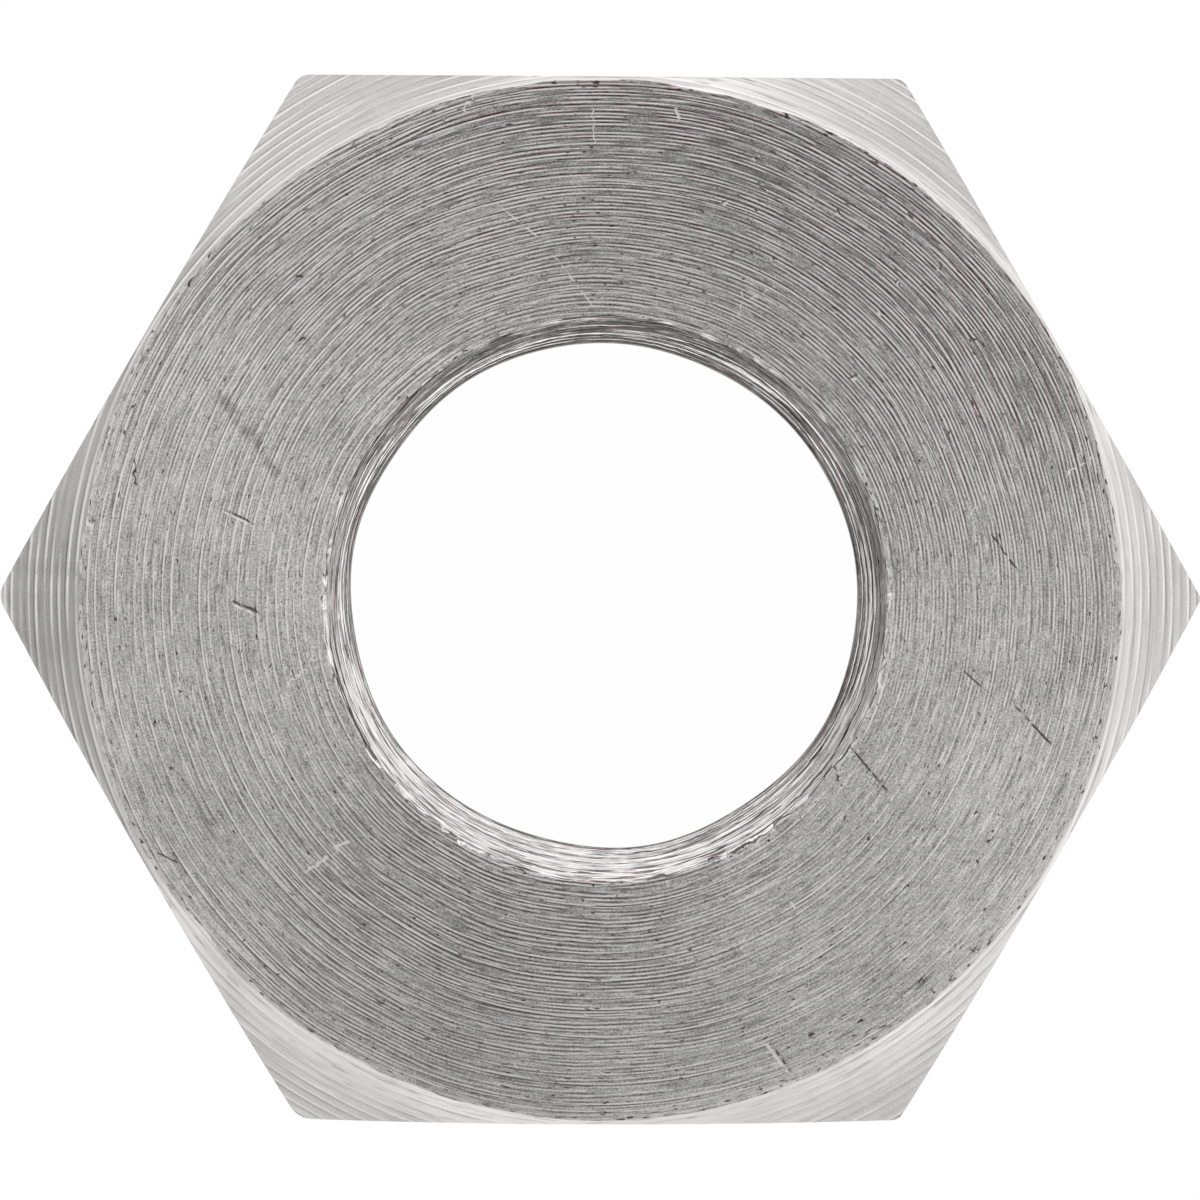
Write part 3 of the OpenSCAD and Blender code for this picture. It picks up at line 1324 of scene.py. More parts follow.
@dataclass(frozen=True)
class SteelFinish:
    """Bare steel as a tool or die left it.

    It gives the eye fine lines that stretch each highlight across them, feed lines where two turns of the
    tool meet with a painted highlight on each crest and painted shade at its foot, dark brownish seams where
    the tool chattered on ground that painted shade darkens, torn pits, and a slow change of grey.
    """

    name: str
    lay: Lay = Lay.ROUND
    dark: str = "#8F8D8B"
    light: str = "#F8F5F3"
    crest: str = "#FEFBF9"
    pit: str = "#4E3F3A"
    seam: str = "#4E322B"
    stain: str = "#8E766B"
    roughness: float = 0.34
    anisotropy: float = 0.7
    # Mean distance from the axis, which turns an angle into a length along the cut
    mean_radius: float = 3.8
    feed: float = 0.09
    lines: tuple[Lines, ...] = ()
    chatter: Chatter | None = None
    pits: Pits | None = None
    grain: Lines = Lines(0.018, 0.018, 0.0, 0.18)
    cloud: Lines = Lines(1.2, 1.2, 0.0, 0.06)
    # Size of the bends of a scratch, and the flakes that burrs break up into along the cut
    patch: float = 0.06
    burr: Lines = Lines(0.09, 0.03, 0.006, 0.0, 0.16)
    crest_width: float = 0.15
    crest_height: float = 0.0014
    # The crests get a painted highlight, this much brighter in tone
    painted_crest_highlight: float = 0.0
    # Depth of the feed lines, in mm, from which their crests' painted highlights show in full
    crest_full: float = 0.0022
    # Length in mm of the runs that the crests come and go in, and how dark their feet are where it chattered
    crest_run: float = 1.4
    foot_seam: float = 1.3
    base_tone: float = 0.5
    # Rise of the noise over which a flake of burr and a pit come up in full
    flake_rise: float = 0.12
    pit_rise: float = 0.04
    # How much sooner metal is torn out beside the burrs
    torn_by_burr: float = 0.18
    # How far the roughness swings about its mean
    shine_swing: float = 0.04
    # How far a scratch wanders in X and Y, in mm
    scratch_wander: tuple[float, float, float] = (0.08, -0.06, 0.0)

    def coordinates(self, tree: bpy.types.NodeTree) -> dict[str, bpy.types.NodeSocket]:
        """Adds the coordinates that the layers are drawn in.

        Args:
            tree: the material's tree.

        Returns:
            The point in mm, the vectors along and across the cut in mm, the direction of the cut, and what
            the mesh says of its turns, depth, chatter and burr.
        """
        metres = add(tree, "ShaderNodeTexCoord", out="Object")
        point = add(tree, VECTOR, {0: metres, "Scale": 1 / MM}, operation="SCALE")
        level = add(tree, VECTOR, {0: point, 1: (1, 1, 0)}, operation="MULTIPLY")
        out = add(tree, VECTOR, {0: level}, operation="NORMALIZE")
        marks = add(tree, SEPARATE, {0: add(tree, "ShaderNodeAttribute", out="Vector", attribute_name=LAY)})
        turns = marks.node.outputs["X"]
        if self.lay is Lay.ROUND:
            along = add(tree, VECTOR, {0: out, "Scale": self.mean_radius}, operation="SCALE")
            fed = add(tree, MATH, {0: turns, 1: self.feed}, operation="MULTIPLY")
            across = add(tree, COMBINE, {"Z": fed})
            cut = add(tree, VECTOR, {0: (0, 0, 1), 1: out}, operation="CROSS_PRODUCT")
        else:
            along = add(tree, VECTOR, {0: point, 1: (0, 0, 1)}, operation="MULTIPLY")
            across, cut = level, add(tree, COMBINE, {"Z": 1.0})
        return {"point": point, "level": level, "along": along, "across": across, "cut": cut, "turns": turns,
                "depth": marks.node.outputs["Y"], "chatter": marks.node.outputs["Z"],
                "burr": add(tree, "ShaderNodeAttribute", out="Fac", attribute_name=BURR)}

    def streaks(self, tree: bpy.types.NodeTree, at: dict, length: float, width: float,
                place: int) -> bpy.types.NodeSocket:
        """Adds noise that is stretched along the cut.

        Args:
            tree: the material's tree.
            at: the coordinates.
            length: the length of its features, in millimetres.
            width: their width.
            place: a number that sets this noise apart from the others.

        Returns:
            Values about 0.5.
        """
        apart = (SEED * 1.7 + place * 13.1, place * 7.7, place * 3.3)
        far = add(tree, VECTOR, {0: at["along"], 1: (1 / length,) * 3, 2: apart}, operation="MULTIPLY_ADD")
        both = add(tree, VECTOR, {0: at["across"], 1: (1 / width,) * 3, 2: far}, operation="MULTIPLY_ADD")
        return add(tree, NOISE, {"Vector": both, "Scale": 1.0, "Detail": 0.0}, out="Fac")

    def spots(self, tree: bpy.types.NodeTree, at: dict, size: float) -> bpy.types.NodeSocket:
        """Adds noise of one size all over.

        Args:
            tree: the material's tree.
            at: the coordinates.
            size: the size of its features, in millimetres.

        Returns:
            Values about 0.5.
        """
        spot = add(tree, VECTOR, {0: at["point"], 1: (1 / size,) * 3, 2: (SEED, size * 97, 5.0)},
                   operation="MULTIPLY_ADD")
        return add(tree, NOISE, {"Vector": spot, "Scale": 1.0, "Detail": 0.0}, out="Fac")

    def material(self, work: ScratchWork | None = None) -> bpy.types.Material:
        """Makes the material.

        Args:
            work: the scratches that lie on this surface, if any.

        Returns:
            The material.
        """
        made = bpy.data.materials.new(self.name)
        made.use_nodes = True
        tree = made.node_tree
        tree.nodes.clear()
        at = self.coordinates(tree)
        cloud = self.spots(tree, at, self.cloud.width)
        tone, height = self.base_tone, 0.0
        layers = [(layer, self.streaks(tree, at, layer.length, layer.width, place + 1))
                  for place, layer in enumerate(self.lines)]
        layers += [(self.grain, self.spots(tree, at, self.grain.width)), (self.cloud, cloud)]
        for layer, noise in layers:
            even = add(tree, RANGE, {"Value": noise, "From Min": 0.5 - layer.reach,
                                     "From Max": 0.5 + layer.reach, "To Min": -1.0})
            # Sparse lines are what lies beyond half of the range, on an even ground
            if layer.sparse:
                flat = add(tree, "ShaderNodeClamp", {"Value": even, "Min": -0.5, "Max": 0.5})
                even = add(tree, MATH, {0: even, 1: flat}, operation="SUBTRACT")
            tone = add(tree, MATH, {0: even, 1: layer.shade, 2: tone}, operation="MULTIPLY_ADD")
            if layer.depth:
                height = add(tree, MATH, {0: even, 1: layer.depth, 2: height}, operation="MULTIPLY_ADD")
        seams = 0.0
        if self.painted_crest_highlight:
            tone, height, seams = self.crests(tree, at, tone, height)
        if self.chatter is not None:
            tone, height, seams = self.chattered(tree, at, cloud, tone, height, seams)
        steel = add(tree, "ShaderNodeMix", {"Factor": tone, "A": linear(self.dark), "B": linear(self.light)},
                    data_type="RGBA")
        flakes = self.streaks(tree, at, self.burr.length, self.burr.width, 30)
        whole = add(tree, RANGE, {"Value": flakes, "From Min": 0.5 - self.burr.reach,
                                  "From Max": 0.5 - self.burr.reach + self.flake_rise})
        # The burr share carries real burrs and smears, and also the painted light of the mouth, the lead-in
        # and the chamfer round 6 o'clock
        share = add(tree, MATH, {0: whole, 1: at["burr"]}, operation="MULTIPLY")
        steel = add(tree, "ShaderNodeMix", {"Factor": share, "A": steel, "B": linear(self.crest)},
                    data_type="RGBA")
        rolled = add(tree, MATH, {0: flakes, 1: at["burr"]}, operation="MULTIPLY")
        height = add(tree, MATH, {0: rolled, 1: self.burr.depth, 2: height}, operation="MULTIPLY_ADD")
        steel = add(tree, "ShaderNodeMix", {"Factor": seams, "A": steel, "B": linear(self.seam)},
                    data_type="RGBA")
        if self.pits is not None:
            noise = self.streaks(tree, at, self.pits.length, self.pits.width, 20)
            noise = add(tree, MATH, {0: at["burr"], 1: self.torn_by_burr, 2: noise},
                        operation="MULTIPLY_ADD")
            torn = add(tree, RANGE, {"Value": noise, "From Min": self.pits.start,
                                     "From Max": self.pits.start + self.pit_rise,
                                     "To Max": self.pits.darkness})
            steel = add(tree, "ShaderNodeMix", {"Factor": torn, "A": steel, "B": linear(self.pit)},
                        data_type="RGBA")
        if work is not None:
            steel, height = self.scratched(tree, at, work, steel, height)
        across = add(tree, VECTOR, {0: add(tree, "ShaderNodeNewGeometry", out="Normal"), 1: at["cut"]},
                     operation="CROSS_PRODUCT")
        shine = add(tree, RANGE, {"Value": cloud, "From Min": 0.3, "From Max": 0.7,
                                  "To Min": self.roughness - self.shine_swing,
                                  "To Max": self.roughness + self.shine_swing})
        shader = add(tree, "ShaderNodeBsdfPrincipled", {
            "Base Color": steel, "Metallic": 1.0, "Roughness": shine, "Anisotropic": self.anisotropy,
            "Tangent": across, "Normal": add(tree, "ShaderNodeBump", {"Height": height, "Distance": MM}),
        })
        add(tree, "ShaderNodeOutputMaterial", {"Surface": shader})
        return made

    def crests(self, tree: bpy.types.NodeTree, at: dict, tone: bpy.types.NodeSocket,
               height: bpy.types.NodeSocket) -> tuple[bpy.types.NodeSocket, ...]:
        """Adds painted highlights on the thin crests between two turns of the tool, each uneven and with a
        foot of painted shade.

        Args:
            tree: the material's tree.
            at: the coordinates.
            tone: the tone so far.
            height: the height so far, in millimetres.

        Returns:
            The tone and the height with the crests, and the share that dark seams at their feet cover.
        """
        split = add(tree, MATH, {0: at["turns"]}, operation="FRACT")
        aside = add(tree, MATH, {0: add(tree, MATH, {0: split, 1: 0.5}, operation="SUBTRACT")},
                    operation="ABSOLUTE")
        line = add(tree, RANGE, {"Value": aside, "From Min": 0.5 - self.crest_width, "From Max": 0.5},
                   interpolation_type="SMOOTHSTEP")
        # The foot is painted shade beside the crest's painted highlight: it lies beside the crest, is half
        # as wide as the two are apart, and shades half as much
        foot = add(tree, MATH, {0: split, 1: 1.4 * self.crest_width}, operation="SUBTRACT")
        foot = add(tree, MATH, {0: foot}, operation="ABSOLUTE")
        foot = add(tree, RANGE, {"Value": foot, "From Min": self.crest_width * 0.7, "From Max": 0.0})
        both = add(tree, MATH, {0: foot, 1: -0.5, 2: line}, operation="MULTIPLY_ADD")
        there = add(tree, RANGE, {"Value": self.streaks(tree, at, self.crest_run, self.feed * 1.2, 11),
                                  "From Min": 0.36, "From Max": 0.58})
        deep = add(tree, RANGE, {"Value": at["depth"], "From Min": 0.0, "From Max": self.crest_full})
        there = add(tree, MATH, {0: there, 1: deep}, operation="MULTIPLY")
        drawn = add(tree, MATH, {0: both, 1: there}, operation="MULTIPLY")
        foot = add(tree, MATH, {0: foot, 1: there}, operation="MULTIPLY")
        seams = add(tree, MATH, {0: foot, 1: at["chatter"]}, operation="MULTIPLY")
        return (add(tree, MATH, {0: drawn, 1: self.painted_crest_highlight, 2: tone}, operation="MULTIPLY_ADD"),
                add(tree, MATH, {0: drawn, 1: self.crest_height, 2: height}, operation="MULTIPLY_ADD"),
                add(tree, MATH, {0: seams, 1: self.foot_seam}, operation="MULTIPLY"))

    def chattered(self, tree: bpy.types.NodeTree, at: dict, cloud: bpy.types.NodeSocket,
                  tone: bpy.types.NodeSocket, height: bpy.types.NodeSocket,
                  seams: bpy.types.NodeSocket | float) -> tuple[bpy.types.NodeSocket, ...]:
        """Adds the close ridges and dark seams that a chattering tool leaves, where the mesh says so.

        Args:
            tree: the material's tree.
            at: the coordinates.
            cloud: the noise that the ridges wander by.
            tone: the tone so far.
            height: the height so far, in millimetres.
            seams: the share that seams cover so far.

        Returns:
            The tone and the height with the ridges, and the share that the seams cover.
        """
        waves = self.chatter
        phase = add(tree, MATH, {0: at["turns"], 1: FULL_TURN * self.feed / waves.pitch},
                    operation="MULTIPLY")
        phase = add(tree, MATH, {0: cloud, 1: waves.wander * FULL_TURN, 2: phase}, operation="MULTIPLY_ADD")
        broken = add(tree, RANGE, {"Value": self.streaks(tree, at, waves.length, waves.pitch * 1.1, 9),
                                   "From Min": 0.38, "From Max": 0.6})
        strength = add(tree, MATH, {0: broken, 1: at["chatter"]}, operation="MULTIPLY")
        thin = add(tree, MATH, {0: add(tree, MATH, {0: phase}, operation="SINE"), 1: waves.thinness},
                   operation="POWER")
        swing = add(tree, MATH, {0: thin, 1: strength}, operation="MULTIPLY")
        tone = add(tree, MATH, {0: swing, 1: waves.shade, 2: tone}, operation="MULTIPLY_ADD")
        # Chattered ground is darkened all over, as painted shade
        tone = add(tree, MATH, {0: at["chatter"], 1: -waves.painted_shade, 2: tone}, operation="MULTIPLY_ADD")
        height = add(tree, MATH, {0: swing, 1: waves.depth, 2: height}, operation="MULTIPLY_ADD")
        cut = add(tree, RANGE, {"Value": swing, "From Min": -0.1, "From Max": -0.5, "To Max": waves.seam})
        dashes = add(tree, RANGE, {"Value": self.streaks(tree, at, waves.dash, waves.pitch, 12),
                                   "From Min": 0.40, "From Max": 0.56, "To Min": 0.25})
        cut = add(tree, MATH, {0: cut, 1: dashes}, operation="MULTIPLY")
        return tone, height, add(tree, MATH, {0: cut, 1: seams}, operation="MAXIMUM")

    def scratched(self, tree: bpy.types.NodeTree, at: dict, work: ScratchWork, steel: bpy.types.NodeSocket,
                  height: bpy.types.NodeSocket) -> tuple[bpy.types.NodeSocket, bpy.types.NodeSocket]:
        """Adds the scratches and knocks.

        Args:
            tree: the material's tree.
            at: the coordinates.
            work: the scratches.
            steel: the colour so far.
            height: the height so far, in millimetres.

        Returns:
            The colour and the height with the scratches.
        """
        patches = self.spots(tree, at, self.patch)
        even = add(tree, MATH, {0: patches, 1: 0.5}, operation="SUBTRACT")
        wander = add(tree, VECTOR, {0: self.scratch_wander, "Scale": even}, operation="SCALE")
        point = add(tree, VECTOR, {0: at["level"], 1: wander}, operation="ADD")
        broken = add(tree, RANGE, {"Value": patches, "From Min": 0.34, "From Max": 0.46, "To Min": 0.15})
        # How much each kind covers, and how deep it is in mm
        for tone, colour, share, depth in (
            (Tone.SMUDGE, self.pit, 0.42, 0.0), (Tone.STAIN, self.stain, 0.7, 0.0),
            (Tone.BRIGHT, self.crest, 0.95, 0.0), (Tone.DARK, self.pit, 1.0, 0.0),
            (Tone.DENT, self.pit, 0.9, 0.003),
        ):
            cover = add(tree, MATH, {0: work.cover(tree, point, tone), 1: broken}, operation="MULTIPLY")
            soft = add(tree, MATH, {0: cover, 1: share}, operation="MULTIPLY")
            steel = add(tree, "ShaderNodeMix", {"Factor": soft, "A": steel, "B": linear(colour)},
                        data_type="RGBA")
            if depth:
                height = add(tree, MATH, {0: cover, 1: -depth, 2: height}, operation="MULTIPLY_ADD")
        return steel, height


class TubeNut:
    """The whole nut: one turned piece."""

    def __init__(self, picture: Picture) -> None:
        """Takes the nut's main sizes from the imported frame.

        Args:
            picture: where the photograph shows the nut.
        """
        low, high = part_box(NODE)
        mounts = {mount["name"]: mount for mount in frame["record"]["mounts"]}
        top = high[2] / MM
        self.head = Head(top_z=top)
        self.shank = Shank(thread_radius=mounts["thread"]["dims"]["r_mm"])
        self.way = Way(radius=mounts["tube_bore"]["dims"]["r_mm"], top_z=top)
        self.work = ScratchWork(picture, SCRATCHES)

    def finishes(self) -> dict[Surface, bpy.types.Material]:
        """Makes the material of each surface.

        Returns:
            The materials, by surface.
        """
        # Lines of 0.02 to 0.05 mm are what a worn tool leaves, and the finest that show at this scale
        faced = (Lines(0.36, 0.018, 0.0014, 0.55, 0.24, True), Lines(0.10, 0.020, 0.0, 0.45, 0.24, True))
        turned = (Lines(0.6, 0.025, 0.0010, 0.25, 0.25, True),)
        reamed = (Lines(0.30, 0.018, 0.0020, 0.6, 0.22, True), Lines(0.12, 0.030, 0.0, 0.5, 0.22, True))
        # The end face gives two bright fans of close rings, which chatter breaks into brown dashes every
        # 0.036 mm and darkens with painted shade, thin crests with painted highlights where two turns of the
        # worn tool meet, and torn ticks less than 0.1 mm long
        face = SteelFinish(
            "steel_end_face_turned", lines=faced, pits=Pits(0.065, 0.017, 0.765, 0.9), painted_crest_highlight=1.3,
            roughness=0.36, anisotropy=0.75, base_tone=0.5, crest_width=0.12, seam="#54221A", pit="#4A332C",
            chatter=Chatter(0.036, 0.35, 0.0024, 2.4, painted_shade=0.20, seam=1.0),
            grain=Lines(0.018, 0.018, 0.0, 0.24),
        )
        # The chamfer is shinier, with evener rings at the feed of its tool, painted highlights on their
        # crests, and long bright burrs
        chamfer = SteelFinish(
            "steel_chamfer_turned", lines=turned, feed=0.075, mean_radius=5.3, painted_crest_highlight=1.0,
            crest_width=0.2, base_tone=0.55, roughness=0.30, burr=Lines(0.3, 0.02, 0.001, 0.0, 0.26),
            crest_full=0.0045, grain=Lines(0.018, 0.018, 0.0, 0.06),
        )
        # The drawn flats give a smooth sheen with faint streaks along the bar, as long as a die draws them
        flats = SteelFinish(
            "steel_flats_cold_drawn", lay=Lay.ALONG, lines=(Lines(3.0, 0.05, 0.0015, 0.12),), roughness=0.28,
        )
        # The neck and the nose give plain even rings
        shank = SteelFinish("steel_shank_turned", lines=turned, feed=0.06, mean_radius=4.2)
        # The thread's flanks are bright, with long lines that the die drew round them
        thread = SteelFinish(
            "steel_thread_cut", lines=(Lines(0.8, 0.03, 0.0012, 0.08),), feed=0.06, mean_radius=4.7,
            roughness=0.26,
        )
        # The mouth gives dark polished treads between burnished crests, brown where the steel tore; the
        # treads' very dark tone is partly painted shade, and round 6 o'clock they are lightened with painted
        # light
        mouth = SteelFinish(
            "steel_mouth_countersunk", lines=reamed, feed=0.05, mean_radius=2.6, base_tone=0.03,
            chatter=Chatter(0.085, 0.4, 0.0010, 0.4, seam=0.6), roughness=0.22, anisotropy=0.4,
            seam="#7A4A3C", burr=Lines(0.4, 0.02, 0.002, 0.0, 0.24), pits=Pits(0.3, 0.017, 0.81, 0.8),
        )
        # The lead-in is as dark and as polished, its dark tone partly painted shade and its brightening
        # round 6 o'clock painted light, and its rings run on unbroken for longer
        lead = SteelFinish(
            "steel_lead_in_reamed", lines=reamed, feed=0.05, mean_radius=2.5, base_tone=0.12,
            chatter=Chatter(0.090, 1.5, 0.0020, 0.8, seam=0.7, wander=0.6), roughness=0.22, anisotropy=0.4,
            seam="#7A4A3C", burr=Lines(0.4, 0.02, 0.002, 0.0, 0.22),
        )
        # The bore gives soft bands, coarser than a drill's, which would melt into grey at its flat angle
        bore = SteelFinish(
            "steel_bore_drilled", lines=reamed, chatter=Chatter(0.07, 0.8, 0.0, 0.45, wander=1.0), feed=0.05,
            mean_radius=2.5, roughness=0.3, base_tone=0.7,
        )
        # The flare seat gives a clear and even sheen, as smooth as a seal needs
        seat = SteelFinish(
            "steel_flare_seat_turned", lines=turned, feed=0.05, mean_radius=3.0, roughness=0.22,
        )
        return {
            Surface.FACE: face.material(),
            Surface.FACE_MARKED: replace(face, name="steel_end_face_scratched").material(self.work),
            Surface.CHAMFER: chamfer.material(),
            Surface.FLATS: flats.material(),
            Surface.SHANK: shank.material(),
            Surface.THREAD: thread.material(),
            Surface.MOUTH: mouth.material(),
            Surface.LEAD: lead.material(),
            Surface.BORE: bore.material(),
            Surface.SEAT: seat.material(),
        }

    def ridge_tree(self) -> bpy.types.NodeTree:
        """Builds the geometry tree that presses the tool's scallops into the skin and dresses each surface.

        Returns:
            The tree, with the depth of the scallops and the surfaces' materials as its named inputs.
        """
        tree = bpy.data.node_groups.new("tool_scallops", "GeometryNodeTree")
        sockets = {"Geometry": "NodeSocketGeometry", "Depth": "NodeSocketFloat"}
        given = inputs_of(tree, sockets | {s.name: "NodeSocketMaterial" for s in Surface})
        tree.interface.new_socket("Geometry", in_out="OUTPUT", socket_type="NodeSocketGeometry")
        lay = add(tree, "GeometryNodeInputNamedAttribute", {"Name": LAY}, out="Attribute",
                  data_type="FLOAT_VECTOR")
        marks = add(tree, SEPARATE, {0: lay}).node.outputs
        # A scallop is a shallow parabola between two sharp crests, which lie at the whole turns
        part = add(tree, MATH, {0: marks["X"]}, operation="FRACT")
        rest = add(tree, MATH, {0: 1.0, 1: part}, operation="SUBTRACT")
        bowl = add(tree, MATH, {0: add(tree, MATH, {0: part, 1: rest}, operation="MULTIPLY"), 1: -4.0},
                   operation="MULTIPLY")
        deep = add(tree, MATH, {0: add(tree, MATH, {0: bowl, 1: marks["Y"]}, operation="MULTIPLY"),
                                1: given["Depth"]}, operation="MULTIPLY")
        offset = add(tree, VECTOR, {0: add(tree, "GeometryNodeInputNormal"), "Scale": deep},
                     operation="SCALE")
        cut = add(tree, "GeometryNodeSetPosition", {"Geometry": given["Geometry"], "Offset": offset})
        dressed = add(tree, "GeometryNodeRealizeInstances", {"Geometry": cut})
        kind = add(tree, "GeometryNodeInputNamedAttribute", {"Name": SURFACE}, out="Attribute",
                   data_type="INT")
        for surface in Surface:
            chosen = add(tree, "FunctionNodeCompare", {"A": kind, "B": surface.value}, data_type="INT",
                         operation="EQUAL")
            dressed = add(tree, "GeometryNodeSetMaterial", {"Geometry": dressed, "Selection": chosen,
                                                            "Material": given[surface.name]})
        add(tree, "NodeGroupOutput", {"Geometry": dressed})
        return tree

    def build(self) -> None:
        """Builds the skin, dresses it and brings it to metres."""
        rng = np.random.default_rng(SEED)
        finishes = self.finishes()
        skin = Skin()
        tip, rim, rim_radii = self.way.build(skin, self.head.angles(), rng)
        edge_row, edge = self.head.face(skin, rim, rim_radii, rng)
        outline_row, heights = self.head.chamfer(skin, edge_row, edge, rng)
        under = self.head.sides(skin, outline_row, heights)
        self.shank.neck(skin, under)
        self.shank.thread(skin, finishes[Surface.THREAD])
        nose_tip = self.shank.nose(skin)
        skin.join(nose_tip, tip, Surface.SHANK)
        skin.part(Surface.FACE, Surface.FACE_MARKED, self.work.near)
        values = {"Depth": 1.0} | {surface.name: finishes[surface] for surface in Surface}
        mesh = with_nodes(skin.mesh("nut_blank", finishes[Surface.FACE]), self.ridge_tree(), values)
        mesh.transform(Matrix.Scale(MM, 4))
        mesh.shade_smooth()
        # Only the rows of one scallop are smooth, and every crest stays crisp
        mesh.set_sharp_from_angle(angle=math.radians(9))
        piece = bpy.data.objects.new("turned_nut", mesh)
        bpy.context.scene.collection.objects.link(piece)
        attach(piece, "root")
        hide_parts(NODE)
        log.info("%s: %d triangles", piece.name, sum(len(p.vertices) - 2 for p in mesh.polygons))


@dataclass(frozen=True)
class Sky:
    """The light round the nut, near the table, at half height and overhead.

    Each has its mean strength and how much it swings towards the azimuth that it faces, in degrees.
    """

    low: float = 0.64
    low_swing: float = 0.54
    low_facing: float = 85.0
    half: float = 1.09
    half_swing: float = 0.1
    half_facing: float = 275.0
    # On one side the light at half height sinks to this strength, between these two cosines
    half_shade: float = 0.45
    shade_facing: float = 172.0
    shade_edge: tuple[float, float] = (0.7, 0.97)
    # Overhead it swings twice in a turn, so that two fans of the end face are bright
    high: float = 0.60
    high_swing: float = 1.5
    high_facing: float = 165.0
    # Rise between which the light near the table gives way to half height, and that to overhead
    half_starts: tuple[float, float] = (0.25, 0.48)
    high_starts: tuple[float, float] = (0.62, 0.86)


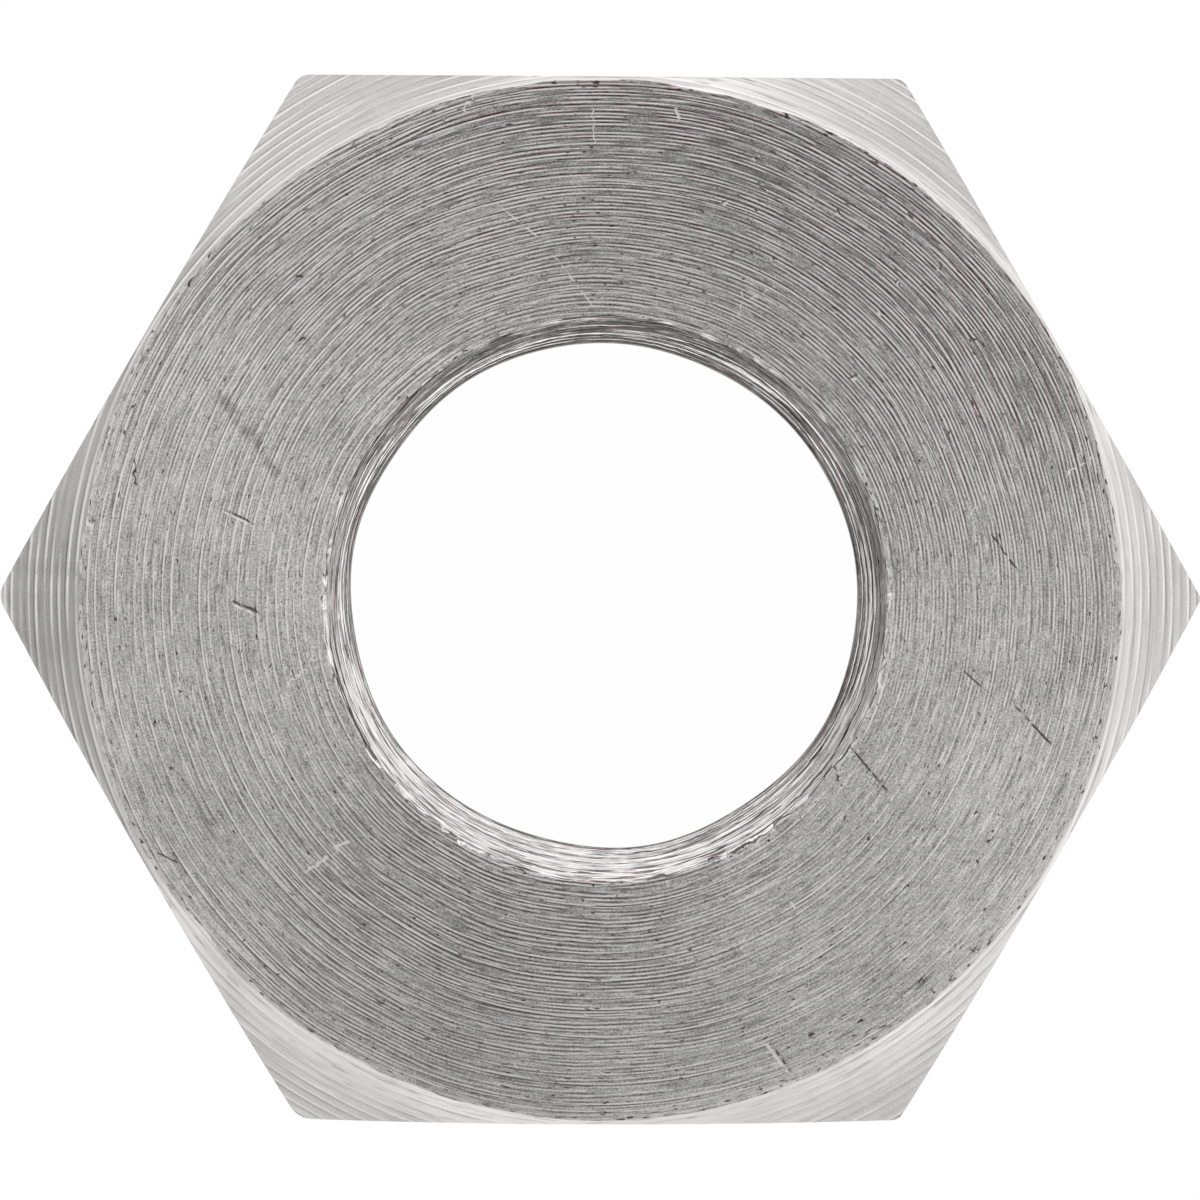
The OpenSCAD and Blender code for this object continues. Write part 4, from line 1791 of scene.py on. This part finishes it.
@dataclass(frozen=True)
class Studio:
    """A pale floor, a soft surrounding light and the camera of the photograph."""

    picture: Picture
    top_z: float
    sky: Sky = Sky()
    lens: float = 1550.0
    sensor: float = 36.0
    # Where the camera stands off the axis, in millimetres
    stand: tuple[float, float] = (-0.75, 1.23)
    floor_colour: str = "#F4F4F2"
    # Half the side of the floor, in metres
    floor_half: float = 1.5
    # The camera sees the floor as white paper, just over white to make up for the shadow that it keeps
    white_strength: float = 1.02
    white_share: float = 0.97
    # How much of that white the steel mirrors, because real paper lies shaded under the nut
    mirrored_share: float = 0.45

    def floor(self) -> None:
        """Builds the floor, which shows white and keeps a little of the nut's shadow."""
        half = self.floor_half
        corners = [(-half, -half, 0), (half, -half, 0), (half, half, 0), (-half, half, 0)]
        mesh = bpy.data.meshes.new("floor")
        mesh.from_pydata(corners, [], [(0, 1, 2, 3)])
        white = bpy.data.materials.new("white_paper")
        white.use_nodes = True
        tree = white.node_tree
        tree.nodes.clear()
        path = add(tree, "ShaderNodeLightPath").node.outputs
        share = add(tree, MATH, {0: path["Is Glossy Ray"], 1: self.mirrored_share,
                                 2: path["Is Camera Ray"]}, operation="MULTIPLY_ADD")
        share = add(tree, MATH, {0: share, 1: self.white_share}, operation="MINIMUM")
        paper = add(tree, "ShaderNodeBsdfDiffuse", {"Color": linear(self.floor_colour)})
        lit = add(tree, "ShaderNodeEmission", {"Color": (1, 1, 1, 1), "Strength": self.white_strength})
        shown = add(tree, "ShaderNodeMixShader", {0: share, 1: paper, 2: lit})
        add(tree, "ShaderNodeOutputMaterial", {"Surface": shown})
        mesh.materials.append(white)
        floor = bpy.data.objects.new("floor", mesh)
        bpy.context.scene.collection.objects.link(floor)

    def surround(self) -> None:
        """Builds the world: the light near the table, at half height and overhead, each with its sides."""
        world = bpy.data.worlds.new("soft_studio")
        world.use_nodes = True
        tree = world.node_tree
        tree.nodes.clear()
        sky = self.sky
        way = add(tree, "ShaderNodeTexCoord", out="Generated")
        rise = add(tree, SEPARATE, {0: way}, out="Z")
        level = add(tree, VECTOR, {0: add(tree, VECTOR, {0: way, 1: (1, 1, 0)}, operation="MULTIPLY")},
                    operation="NORMALIZE")

        def towards(azimuth: float, direction: bpy.types.NodeSocket) -> bpy.types.NodeSocket:
            """Returns how much a direction points towards an azimuth in degrees, from -1 to 1."""
            aim = (math.cos(math.radians(azimuth)), math.sin(math.radians(azimuth)), 0.0)
            return add(tree, VECTOR, {0: direction, 1: aim}, out="Value", operation="DOT_PRODUCT")

        low = add(tree, MATH, {0: towards(sky.low_facing, level), 1: sky.low_swing, 2: sky.low},
                  operation="MULTIPLY_ADD")
        half = add(tree, MATH, {0: towards(sky.half_facing, level), 1: sky.half_swing, 2: sky.half},
                   operation="MULTIPLY_ADD")
        half = add(tree, RANGE, {"Value": towards(sky.shade_facing, level), "From Min": sky.shade_edge[0],
                                 "From Max": sky.shade_edge[1], "To Min": half, "To Max": sky.half_shade},
                   interpolation_type="SMOOTHSTEP")
        ahead, aside = towards(sky.high_facing, way), towards(sky.high_facing + 90, way)
        swing = add(tree, MATH, {0: add(tree, MATH, {0: ahead, 1: ahead}, operation="MULTIPLY"),
                                 1: add(tree, MATH, {0: aside, 1: aside}, operation="MULTIPLY")},
                    operation="SUBTRACT")
        high = add(tree, MATH, {0: swing, 1: sky.high_swing, 2: sky.high}, operation="MULTIPLY_ADD")
        light = low
        for (start, end), above in ((sky.half_starts, half), (sky.high_starts, high)):
            share = add(tree, RANGE, {"Value": rise, "From Min": start, "From Max": end},
                        interpolation_type="SMOOTHSTEP")
            light = add(tree, "ShaderNodeMix", {"Factor": share, "A": light, "B": above}, data_type="FLOAT")
        shown = add(tree, "ShaderNodeBackground", {"Color": light, "Strength": 1.0})
        add(tree, "ShaderNodeOutputWorld", {"Surface": shown})
        bpy.context.scene.world = world

    def camera(self) -> None:
        """Places the camera above the nut, as the photograph was taken."""
        data = bpy.data.cameras.new("camera")
        data.lens, data.sensor_width = self.lens, self.sensor
        picture = self.picture
        distance = self.lens / self.sensor * picture.side / picture.px_per_mm
        place = Vector((*self.stand, self.top_z + distance))
        middle = picture.side / 2
        aim = Vector(picture.on_face((middle, middle))) + Vector((0, 0, self.top_z))
        back = (place - aim).normalized()
        roll = math.radians(picture.roll)
        right = Vector((-math.sin(roll), math.cos(roll), 0)).cross(back).normalized()
        camera = bpy.data.objects.new("camera", data)
        camera.rotation_mode = "QUATERNION"
        camera.rotation_quaternion = Matrix((right, back.cross(right), back)).transposed().to_quaternion()
        camera.location = place * MM
        bpy.context.scene.collection.objects.link(camera)
        bpy.context.scene.camera = camera

    def build(self) -> None:
        """Builds the whole studio."""
        self.floor()
        self.surround()
        self.camera()
        bpy.context.scene.view_settings.view_transform = "Standard"


def main() -> None:
    """Builds the nut and its studio."""
    logging.basicConfig(level=logging.INFO, format="%(message)s")
    picture = Picture()
    nut = TubeNut(picture)
    nut.build()
    Studio(picture, nut.head.top_z).build()


if __name__ == "__main__":
    main()
